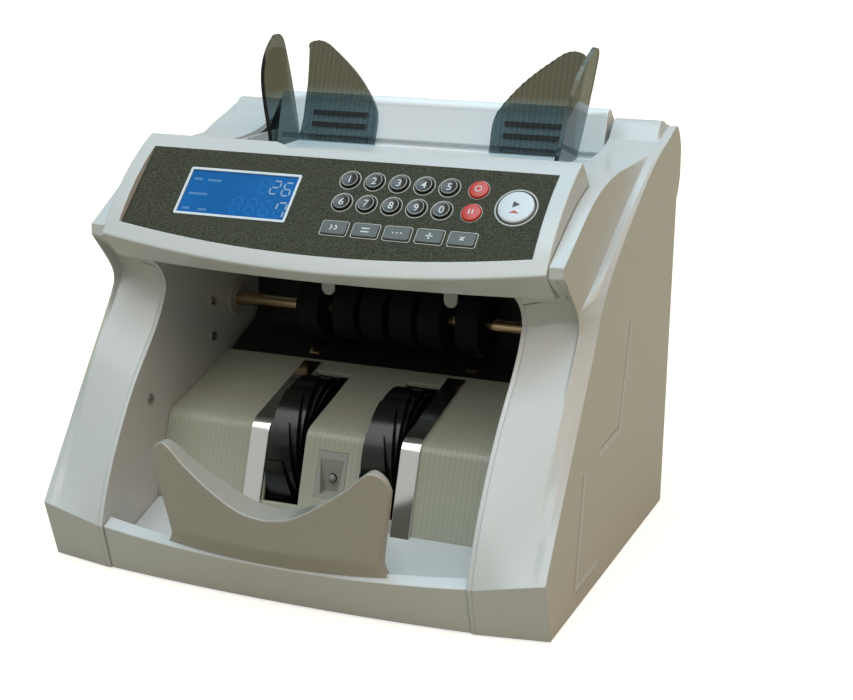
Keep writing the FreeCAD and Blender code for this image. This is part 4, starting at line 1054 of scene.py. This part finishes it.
class COUNTER_OT_display(Operator):
    """Display with its frame and plain seven-segment digits"""

    bl_idname = "counter.display"
    bl_label = "Display"

    # The pane's face and depth, and the corner, band and rise of its frame.
    FACE = -0.5
    DEPTH = 5.5
    FRAME = (1.0, 1.4, 0.7)
    SEGMENT_RISE = 0.04

    # Segments of the figures in use, and a figure's width, stroke and gap by its height, and its slant.
    SHAPES = {"2": "abdeg", "6": "acdefg", "7": "abcf", "8": "abcdefg"}
    WIDE = 0.56
    STROKE = 0.11
    GAP = 0.35
    SLANT = 0.10

    # Each figure, whether it is off, its place and its height.
    FIGURES = (
        ("8", True, -41.5, 31.4, 8.6), ("2", False, -34.9, 31.0, 8.2), ("6", False, -27.8, 30.4, 8.2),
        ("8", True, -53.5, 18.2, 9.4), ("8", True, -44.8, 17.8, 9.4), ("8", True, -36.2, 17.4, 9.4),
        ("7", False, -27.4, 17.0, 9.4),
    )

    # Bars at the left: both ends and their height, and their stroke.
    BARS = (
        (-85.1, -78.4, 32.7), (-76.6, -66.9, 32.4), (-84.9, -72.1, 23.2), (-85.3, -79.2, 13.6),
        (-75.6, -68.9, 13.4),
    )
    BAR_STROKE = 1.5

    def digit(self, bm, lit, text, u, v, high):
        """Adds the lit or the dark segments of one digit."""
        wide = high * self.WIDE
        thick = high * self.STROKE
        places = {
            "a": (0.0, high / 2, 0.0), "g": (0.0, 0.0, 0.0), "d": (0.0, -high / 2, 0.0),
            "f": (-wide / 2, high / 4, 90.0), "b": (wide / 2, high / 4, 90.0),
            "e": (-wide / 2, -high / 4, 90.0), "c": (wide / 2, -high / 4, 90.0),
        }
        for segment, (du, dv, turn) in places.items():
            if (segment in self.SHAPES[text]) != lit:
                continue
            span = (high / 2 if turn else wide) - thick * self.GAP
            place = on_console(u + du + dv * self.SLANT, v + dv, self.FACE) @ turned(turn)
            bar(bm, span, thick, self.SEGMENT_RISE, place)

    def execute(self, context):
        middle = (DISPLAY_LOW + DISPLAY_HIGH) / 2
        size = DISPLAY_HIGH - DISPLAY_LOW
        pane = bmesh.new()
        bmesh.ops.create_cube(pane, size=1.0)
        bmesh.ops.scale(pane, vec=(size.x * MM, size.y * MM, self.DEPTH * MM), verts=pane.verts)
        bmesh.ops.transform(pane, matrix=on_console(*middle, self.FACE - self.DEPTH / 2), verts=pane.verts)
        piece("display_pane", pane, "display_pane", "machine", nodes=("lcd_window",))
        surround = panel_frame(*size, *self.FRAME, on_console(*middle, self.FACE))
        piece("display_frame", surround, "white_print", "machine")
        lit = bmesh.new()
        dark = bmesh.new()
        for text, off, u, v, high in self.FIGURES:
            if not off:
                self.digit(lit, True, text, u, v, high)
            self.digit(dark, off, text, u, v, high)
        piece("display_lit_digits", lit, "lit_segment", "machine")
        dim = bmesh.new()
        for first, last, v in self.BARS:
            place = on_console((first + last) / 2, v, self.FACE)
            bar(dim, last - first, self.BAR_STROKE, self.SEGMENT_RISE, place)
        piece("display_bars", dim, "dim_segment", "machine")
        piece("display_dark_digits", dark, "dark_segment", "machine")
        return {"FINISHED"}


class COUNTER_OT_keys(Operator):
    """Number keys, red keys and the large key, with their print"""

    bl_idname = "counter.keys"
    bl_label = "Round keys"

    # Radii of the keys; heights of a key's foot, flange and edge; the flange's width.
    NUMBER_RADIUS = 4.6
    RED_RADIUS = 5.2
    START_RADIUS = 9.4
    FOOT = -4.8
    FLANGE_TOP = -3.6
    EDGE = 0.55
    FLANGE = 1.2

    # A number key's hollow: its radius, its lowest height and how steeply it rises.
    DISH = 3.6
    DISH_FLOOR = 0.95
    DISH_RISE = 0.034

    # Painted highlight on a number key's rim, a silver ring: radius, width and rise, and its height; how far
    # a digit stands off and is fattened.
    RIM = (4.35, 0.28, 0.28)
    RIM_FOOT = 1.22
    DIGIT_RISE = 0.06
    DIGIT_BOLD = 0.05

    # Marks of the red keys: the ring's radius, width and rise, a bar's length, width and rise; their height.
    RING_MARK = (1.9, 0.55, 0.14)
    BAR_MARK = (3.4, 0.7, 0.14)
    BAR_SHIFT = 0.9
    MARK_FOOT = 1.42

    # Triangles of the large key: width and height, and place from its middle.
    FOOT_SIZE = (3.3, 1.1)
    FOOT_PLACE = (0.0, -3.6, 1.52)
    ARROW_SIZE = (2.3, 2.5)
    ARROW_PLACE = (-0.4, 1.0, 1.54)

    def cap(self, node, radius, top, look, u, v):
        """A round key with the given profile on top, its flange under the face."""
        profile = [
            (0.0, self.FOOT), (radius + self.FLANGE, self.FOOT), (radius + self.FLANGE, self.FLANGE_TOP),
            (radius, self.FLANGE_TOP), (radius, self.EDGE), *top,
        ]
        bm = spun(profile, on_console(u, v))
        piece(node + "_cap", bm, look, body_of(node), nodes=(node,), smooth=50.0)

    def mark(self, node, name, bm, look, slot):
        """A mark that rides on a key."""
        piece(node + name, bm, look, body_of(node))

    def dome(self, radius):
        """A low crown."""
        return [
            (radius - 0.12, 0.86), (radius - 0.42, 1.10), (radius - 0.95, 1.24), (radius * 0.55, 1.41),
            (radius * 0.28, 1.48), (0.0, 1.5),
        ]

    def dish_z(self, distance):
        """Height of a number key's hollow top at a distance from its middle."""
        return self.DISH_FLOOR + self.DISH_RISE * distance ** 2

    def dish(self, radius):
        """A hollow top inside a round rim."""
        inside = [
            (share * self.DISH, self.dish_z(share * self.DISH))
            for share in (1.0, 0.83, 0.66, 0.5, 0.33, 0.16, 0.0)
        ]
        return [(radius - 0.10, 1.05), (radius - 0.35, 1.36), (radius - 0.70, 1.44), *inside]

    def triangle(self, wide, high, place):
        """A flat three-sided mark."""
        bm = bmesh.new()
        bmesh.ops.create_circle(bm, cap_ends=True, radius=1.0, segments=3)
        bmesh.ops.scale(bm, vec=(wide * MM, high * MM, 1.0), verts=bm.verts)
        bmesh.ops.transform(bm, matrix=place, verts=bm.verts)
        return bm

    def number_keys(self, digit_size):
        """Hollow keys with a digit and a painted highlight on their rim."""
        for node, digit, u, v in NUMBER_KEYS:
            self.cap(node, self.NUMBER_RADIUS, self.dish(self.NUMBER_RADIUS), "number_key", u, v)
            bm = lettering(digit, digit_size, self.DIGIT_BOLD * MM)
            for vert in bm.verts:
                vert.co.z = (self.dish_z(vert.co.xy.length / MM) + self.DIGIT_RISE) * MM
            bmesh.ops.transform(bm, matrix=on_console(u, v), verts=bm.verts)
            self.mark(node, "_digit", bm, "legend_print", "white_key")
            # The silver ring on the key's rim is a painted highlight.
            self.mark(node, "_rim", ring(*self.RIM, on_console(u, v, self.RIM_FOOT)), "silver_print", None)

    def red_keys(self):
        """Domed keys, one with a ring and one with two upright bars."""
        for node, u, v in RED_KEYS:
            self.cap(node, self.RED_RADIUS, self.dome(self.RED_RADIUS), "red_key", u, v)
        (upper, *place), (lower, u, v) = RED_KEYS
        circle = ring(*self.RING_MARK, on_console(*place, self.MARK_FOOT))
        self.mark(upper, "_mark", circle, "legend_print", "white_key")
        bars = bmesh.new()
        for shift in (-self.BAR_SHIFT, self.BAR_SHIFT):
            bar(bars, *self.BAR_MARK, on_console(u + shift, v, self.MARK_FOOT) @ turned(90.0))
        self.mark(lower, "_mark", bars, "legend_print", "white_key")

    def start_key(self):
        """The large key with two triangles."""
        node, u, v = START_KEY
        self.cap(node, self.START_RADIUS, self.dome(self.START_RADIUS), "white_key", u, v)
        du, dv, w = self.FOOT_PLACE
        foot = self.triangle(*self.FOOT_SIZE, on_console(u + du, v + dv, w))
        self.mark(node, "_foot", foot, "red_print", "red_key")
        du, dv, w = self.ARROW_PLACE
        arrow = self.triangle(*self.ARROW_SIZE, on_console(u + du, v + dv, w) @ turned(-90.0))
        self.mark(node, "_mark", arrow, "dark_print", "number_key")

    def execute(self, context):
        self.number_keys(context.scene.counter_sizes.digit_size)
        self.red_keys()
        self.start_key()
        return {"FINISHED"}


class COUNTER_OT_function_keys(Operator):
    """The five function keys with their marks"""

    bl_idname = "counter.function_keys"
    bl_label = "Function keys"

    # Bars of each mark: place to the right and up, turn in degrees, length; and their stroke and rise.
    MARKS = (
        ((-1.5, 0.75, -45.0, 2.5), (-1.5, -0.75, 45.0, 2.5), (1.1, 0.75, -45.0, 2.5),
         (1.1, -0.75, 45.0, 2.5)),
        ((0.0, 1.0, 0.0, 5.2), (0.0, -1.0, 0.0, 5.2)),
        ((-2.2, 0.0, 0.0, 1.6), (0.0, 0.0, 0.0, 1.6), (2.2, 0.0, 0.0, 1.6)),
        ((0.0, 0.0, 0.0, 4.4), (0.0, 0.0, 90.0, 4.4)),
        ((0.0, 0.0, 45.0, 3.8), (0.0, 0.0, -45.0, 3.8)),
    )
    STROKE = 0.75
    RISE = 0.06

    def execute(self, context):
        for (node, u, v), mark in zip(FUNCTION_KEYS, self.MARKS):
            cap = dress(node, "grey_key", 0.5)
            top = max((CONSOLE.inverted() @ vert.co).z for vert in cap.data.vertices) / MM
            bm = bmesh.new()
            for du, dv, turn, span in mark:
                bar(bm, span, self.STROKE, self.RISE, on_console(u + du, v + dv, top) @ turned(turn))
            piece(node + "_mark", bm, "legend_print", body_of(node))
        return {"FINISHED"}


class COUNTER_OT_hopper(Operator):
    """Hopper bed, back plate and the two smoked guides"""

    bl_idname = "counter.hopper"
    bl_label = "Hopper"

    # The back plate's lean, and in its own plane the middles and half sizes of the dark pads behind a guide.
    LEAN = -math.atan2(0.32, 0.95)
    PADS = ((61.0, 19.33, 232.3), (61.0, 19.33, 239.2))
    PAD_HALF = Vector((18.0, 0.12, 1.3))

    def execute(self, context):
        dress("hopper_bed", "shell_plastic", 0.6)
        dress("hopper_back_plate", "back_plastic", 0.8)
        lean = Matrix.Rotation(self.LEAN, 4, "X")
        for side, sign in SIDES:
            node = side + "_hopper_guide"
            paint(node, "smoked_plastic")
            bm = bmesh.new()
            for x, y, z in self.PADS:
                middle = Vector((sign * x, y, z))
                block(bm, middle - self.PAD_HALF, middle + self.PAD_HALF)
            bmesh.ops.transform(bm, matrix=lean, verts=bm.verts)
            piece(node + "_pads", bm, "black_plastic", body_of(node))
        return {"FINISHED"}


class COUNTER_OT_rear(Operator):
    """Rear cover with its inlet, rocker and socket"""

    bl_idname = "counter.rear"
    bl_label = "Rear"

    # Outer face of the cover, and in it the screws, with a head's radius and height from tip to rim.
    FACE = 104.75
    SCREWS = ((-97.0, 12.0), (97.0, 12.0), (-97.0, 184.0), (97.0, 184.0))
    HEAD = ((0.0, 1.3), (1.6, 1.2), (2.7, 0.7), (3.2, 0.0))

    # Cross in a screw's head: half length, half width, and height of its foot, level bar and upright bar.
    CROSS = (1.7, 0.3)
    CROSS_RISE = (0.9, 1.36, 1.35)

    # The inlet's pins: places, half width, half height and where they run behind the face.
    PINS = ((-69.0, 17.0), (-55.0, 17.0), (-62.0, 21.0))
    PIN_HALF = (1.15, 2.15)
    PIN_RUN = (-13.9, -5.8)

    # The socket's contacts: count, first place, pitch, half width, heights and run behind the face.
    CONTACTS = 6
    CONTACT_X = 18.0
    CONTACT_PITCH = 1.6
    CONTACT_HALF = 0.35
    CONTACT_HEIGHTS = (15.0, 15.4)
    CONTACT_RUN = (-10.5, -1.0)

    # The rocker's marks: middle, heights of bar and ring, tilt of the rocker's faces, and both marks' sizes.
    ROCKER = (-22.0, 106.62)
    BAR_Z = 14.5
    RING_Z = 23.5
    TILT = 0.227
    BAR_MARK = (4.0, 0.7, 0.08)
    RING_MARK = (2.1, 0.6, 0.08)

    def screws(self):
        """Cross-headed screws at the cover's corners."""
        heads = bmesh.new()
        slots = bmesh.new()
        outward = Matrix.Rotation(-QUARTER, 4, "X")
        long, short = self.CROSS
        foot, level, upright = (self.FACE + rise for rise in self.CROSS_RISE)
        for x, z in self.SCREWS:
            place = Matrix.Translation(Vector((x, self.FACE, z)) * MM) @ outward
            join(heads, spun(self.HEAD, place))
            block(slots, (x - long, foot, z - short), (x + long, level, z + short))
            block(slots, (x - short, foot, z - long), (x + short, upright, z + long))
        piece("rear_screws", heads, "screw_steel", "machine", smooth=50.0)
        piece("rear_screw_slots", slots, "black_plastic", "machine")

    def contacts(self):
        """Pins of the inlet and contacts of the socket."""
        pins = bmesh.new()
        wide, high = self.PIN_HALF
        deep, near = (self.FACE + run for run in self.PIN_RUN)
        for x, z in self.PINS:
            block(pins, (x - wide, deep, z - high), (x + wide, near, z + high))
        piece("inlet_pins", pins, "screw_steel", "machine")
        contacts = bmesh.new()
        low, high = self.CONTACT_HEIGHTS
        deep, near = (self.FACE + run for run in self.CONTACT_RUN)
        for index in range(self.CONTACTS):
            x = self.CONTACT_X + self.CONTACT_PITCH * index
            block(contacts, (x - self.CONTACT_HALF, deep, low), (x + self.CONTACT_HALF, near, high))
        piece("socket_contacts", contacts, "shaft_brass", "machine")

    def on_rocker(self, z, tilt):
        """A place on one of the rocker's two faces."""
        middle = Matrix.Translation(Vector((*self.ROCKER, z)) * MM)
        return middle @ Matrix.Rotation(tilt - QUARTER, 4, "X")

    def rocker_marks(self):
        """An upright bar and a ring on the rocker."""
        marks = bmesh.new()
        bar(marks, *self.BAR_MARK, self.on_rocker(self.BAR_Z, self.TILT) @ turned(90.0))
        join(marks, ring(*self.RING_MARK, self.on_rocker(self.RING_Z, -self.TILT)))
        piece("rocker_marks", marks, "legend_print", body_of("power_rocker"))

    def execute(self, context):
        paint("rear_cover", "shell_plastic")
        dress("power_inlet", "black_plastic", 0.4)
        dress("power_rocker", "black_plastic", 0.4)
        dress("display_socket", "black_plastic", 0.3)
        self.screws()
        self.contacts()
        self.rocker_marks()
        return {"FINISHED"}


class COUNTER_OT_underside(Operator):
    """Base pan and feet"""

    bl_idname = "counter.underside"
    bl_label = "Underside"

    def execute(self, context):
        paint("base_pan", "base_steel")
        paint("rubber_feet", "rubber")
        return {"FINISHED"}


class COUNTER_OT_drive(Operator):
    """Motor, pulleys, belt and boards inside the machine"""

    bl_idname = "counter.drive"
    bl_label = "Drive and boards"

    LOOKS = (
        ("main_motor", "motor_steel"), ("motor_pulley", "motor_steel"), ("stacker_pulley", "motor_steel"),
        ("transport_pulley", "motor_steel"), ("drive_belt", "rubber"), ("power_supply", "winding_tape"),
        ("main_board", "board_green"), ("keypad_board", "board_black"),
    )

    def execute(self, context):
        for node, look in self.LOOKS:
            paint(node, look)
        return {"FINISHED"}


class COUNTER_OT_stage(Operator):
    """Floor, light and camera"""

    bl_idname = "counter.stage"
    bl_label = "Stage"

    # Half the floor's width, how far it lies under the feet, and how bright the camera sees it.
    FLOOR_HALF = 30.0
    FLOOR_DROP = 0.0001
    FLOOR_GLOW = 0.75

    # Lights: name, colour, and turn to the front and to the right in degrees; and how wide they are.
    LIGHTS = (
        ("overhead", (0.45, 0.80, 1.0), 0.0, 0.0),
        ("front", (0.97, 0.985, 0.97), 32.0, 0.0),
        ("side", (1.0, 0.55, 0.22), 0.0, 48.0),
    )
    LIGHT_WIDTH = math.radians(60.0)

    # Colour of the room's light, white ground behind the machine, and how much of it gloss mirrors.
    ROOM = (1.0, 0.94, 0.76, 1.0)
    WHITE = (1.0, 1.0, 1.0, 1.0)
    MIRRORED = 0.5

    def seen(self, tree, rays):
        """Whether the camera looks at a place, straight or through the guides."""
        direct = add(tree, "ShaderNodeMath", operation="MAXIMUM")
        tree.links.new(rays.outputs["Is Camera Ray"], direct.inputs[0])
        tree.links.new(rays.outputs["Is Transmission Ray"], direct.inputs[1])
        return direct.outputs[0]

    def floor(self, hues):
        """A wide pale floor that stays white to the camera and keeps the machine's shadow."""
        bm = bmesh.new()
        bmesh.ops.create_grid(bm, x_segments=8, y_segments=8, size=self.FLOOR_HALF)
        bmesh.ops.translate(bm, vec=(0.0, 0.0, -self.FLOOR_DROP), verts=bm.verts)
        mesh = bpy.data.meshes.new("floor")
        bm.to_mesh(mesh)
        bm.free()
        look = bpy.data.materials.new("pale_floor")
        look.use_nodes = True
        tree = look.node_tree
        shader = tree.nodes["Principled BSDF"]
        shader.inputs["Base Color"].default_value = rgba(hues.floor)
        shader.inputs["Roughness"].default_value = 0.9
        shader.inputs["Emission Color"].default_value = self.WHITE
        rays = add(tree, "ShaderNodeLightPath")
        glow = add(tree, "ShaderNodeMath", operation="MULTIPLY", inputs={1: self.FLOOR_GLOW})
        tree.links.new(self.seen(tree, rays), glow.inputs[0])
        tree.links.new(glow.outputs[0], shader.inputs["Emission Strength"])
        mesh.materials.append(look)
        made = bpy.data.objects.new("floor", mesh)
        bpy.context.scene.collection.objects.link(made)

    def lights(self, scene, stage):
        """Soft light from above, in front and the right, and a warm room that the camera sees as white."""
        for name, hue, to_front, to_right in self.LIGHTS:
            lamp = bpy.data.lights.new(name, "SUN")
            lamp.energy = getattr(stage, name)
            lamp.angle = self.LIGHT_WIDTH
            lamp.color = hue
            sun = bpy.data.objects.new(name, lamp)
            sun.rotation_euler = (math.radians(to_front), math.radians(to_right), 0.0)
            scene.collection.objects.link(sun)
        world = bpy.data.worlds.new("room")
        world.use_nodes = True
        scene.world = world
        tree = world.node_tree
        link = tree.links.new
        ground = tree.nodes["Background"]
        ground.inputs["Color"].default_value = self.ROOM
        ground.inputs["Strength"].default_value = stage.room
        white = add(tree, "ShaderNodeBackground", inputs={"Color": self.WHITE, "Strength": 1.0})
        rays = add(tree, "ShaderNodeLightPath")
        mirrored = add(tree, "ShaderNodeMath", operation="MULTIPLY", inputs={1: self.MIRRORED})
        link(rays.outputs["Is Glossy Ray"], mirrored.inputs[0])
        share = add(tree, "ShaderNodeMath", operation="MAXIMUM")
        link(self.seen(tree, rays), share.inputs[0])
        link(mirrored.outputs[0], share.inputs[1])
        mix = add(tree, "ShaderNodeMixShader")
        link(share.outputs[0], mix.inputs[0])
        link(ground.outputs[0], mix.inputs[1])
        link(white.outputs[0], mix.inputs[2])
        link(mix.outputs[0], tree.nodes["World Output"].inputs["Surface"])

    def camera(self, scene, stage):
        """A camera that looks at the machine from its front right, a little from above."""
        data = bpy.data.cameras.new("camera")
        data.sensor_width = 36.0
        data.lens = stage.lens
        data.clip_start = 0.01
        data.clip_end = 200.0
        made = bpy.data.objects.new("camera", data)
        back = Vector((
            math.sin(stage.azimuth) * math.cos(stage.elevation),
            -math.cos(stage.azimuth) * math.cos(stage.elevation),
            math.sin(stage.elevation)))
        made.location = stage.place
        made.rotation_euler = (-back).to_track_quat("-Z", "Y").to_euler()
        scene.collection.objects.link(made)
        scene.camera = made

    def execute(self, context):
        scene = context.scene
        scene.view_settings.view_transform = "Standard"
        self.floor(scene.counter_colours)
        self.lights(scene, scene.counter_stage)
        self.camera(scene, scene.counter_stage)
        return {"FINISHED"}


class COUNTER_PT_panel(Panel):
    """Lists the machine's pieces in the sidebar"""

    bl_label = "Banknote counter"
    bl_idname = "COUNTER_PT_panel"
    bl_space_type = "VIEW_3D"
    bl_region_type = "UI"
    bl_category = "Counter"

    def draw(self, context):
        for step in STEPS:
            self.layout.operator(step.bl_idname)
        for name, kind in GROUPS:
            for key in kind.__annotations__:
                self.layout.prop(getattr(context.scene, name), key)


STEPS = (
    COUNTER_OT_covers, COUNTER_OT_stacker, COUNTER_OT_wheels, COUNTER_OT_transport, COUNTER_OT_console,
    COUNTER_OT_display, COUNTER_OT_keys, COUNTER_OT_function_keys, COUNTER_OT_hopper, COUNTER_OT_rear,
    COUNTER_OT_underside, COUNTER_OT_drive, COUNTER_OT_stage,
)
GROUPS = (
    ("counter_colours", CounterColours), ("counter_sizes", CounterSizes), ("counter_stage", CounterStage),
)


def register():
    """Makes the machine's properties, operators and panel known."""
    for name, group in GROUPS:
        bpy.utils.register_class(group)
        setattr(bpy.types.Scene, name, PointerProperty(type=group))
    for step in STEPS:
        bpy.utils.register_class(step)
    bpy.utils.register_class(COUNTER_PT_panel)


def unregister():
    """Takes them away again."""
    bpy.utils.unregister_class(COUNTER_PT_panel)
    for step in reversed(STEPS):
        bpy.utils.unregister_class(step)
    for name, group in reversed(GROUPS):
        delattr(bpy.types.Scene, name)
        bpy.utils.unregister_class(group)


def main():
    """Builds every piece in order."""
    register()
    for step in STEPS:
        family, name = step.bl_idname.split(".")
        getattr(getattr(bpy.ops, family), name)()


if __name__ == "__main__":
    main()
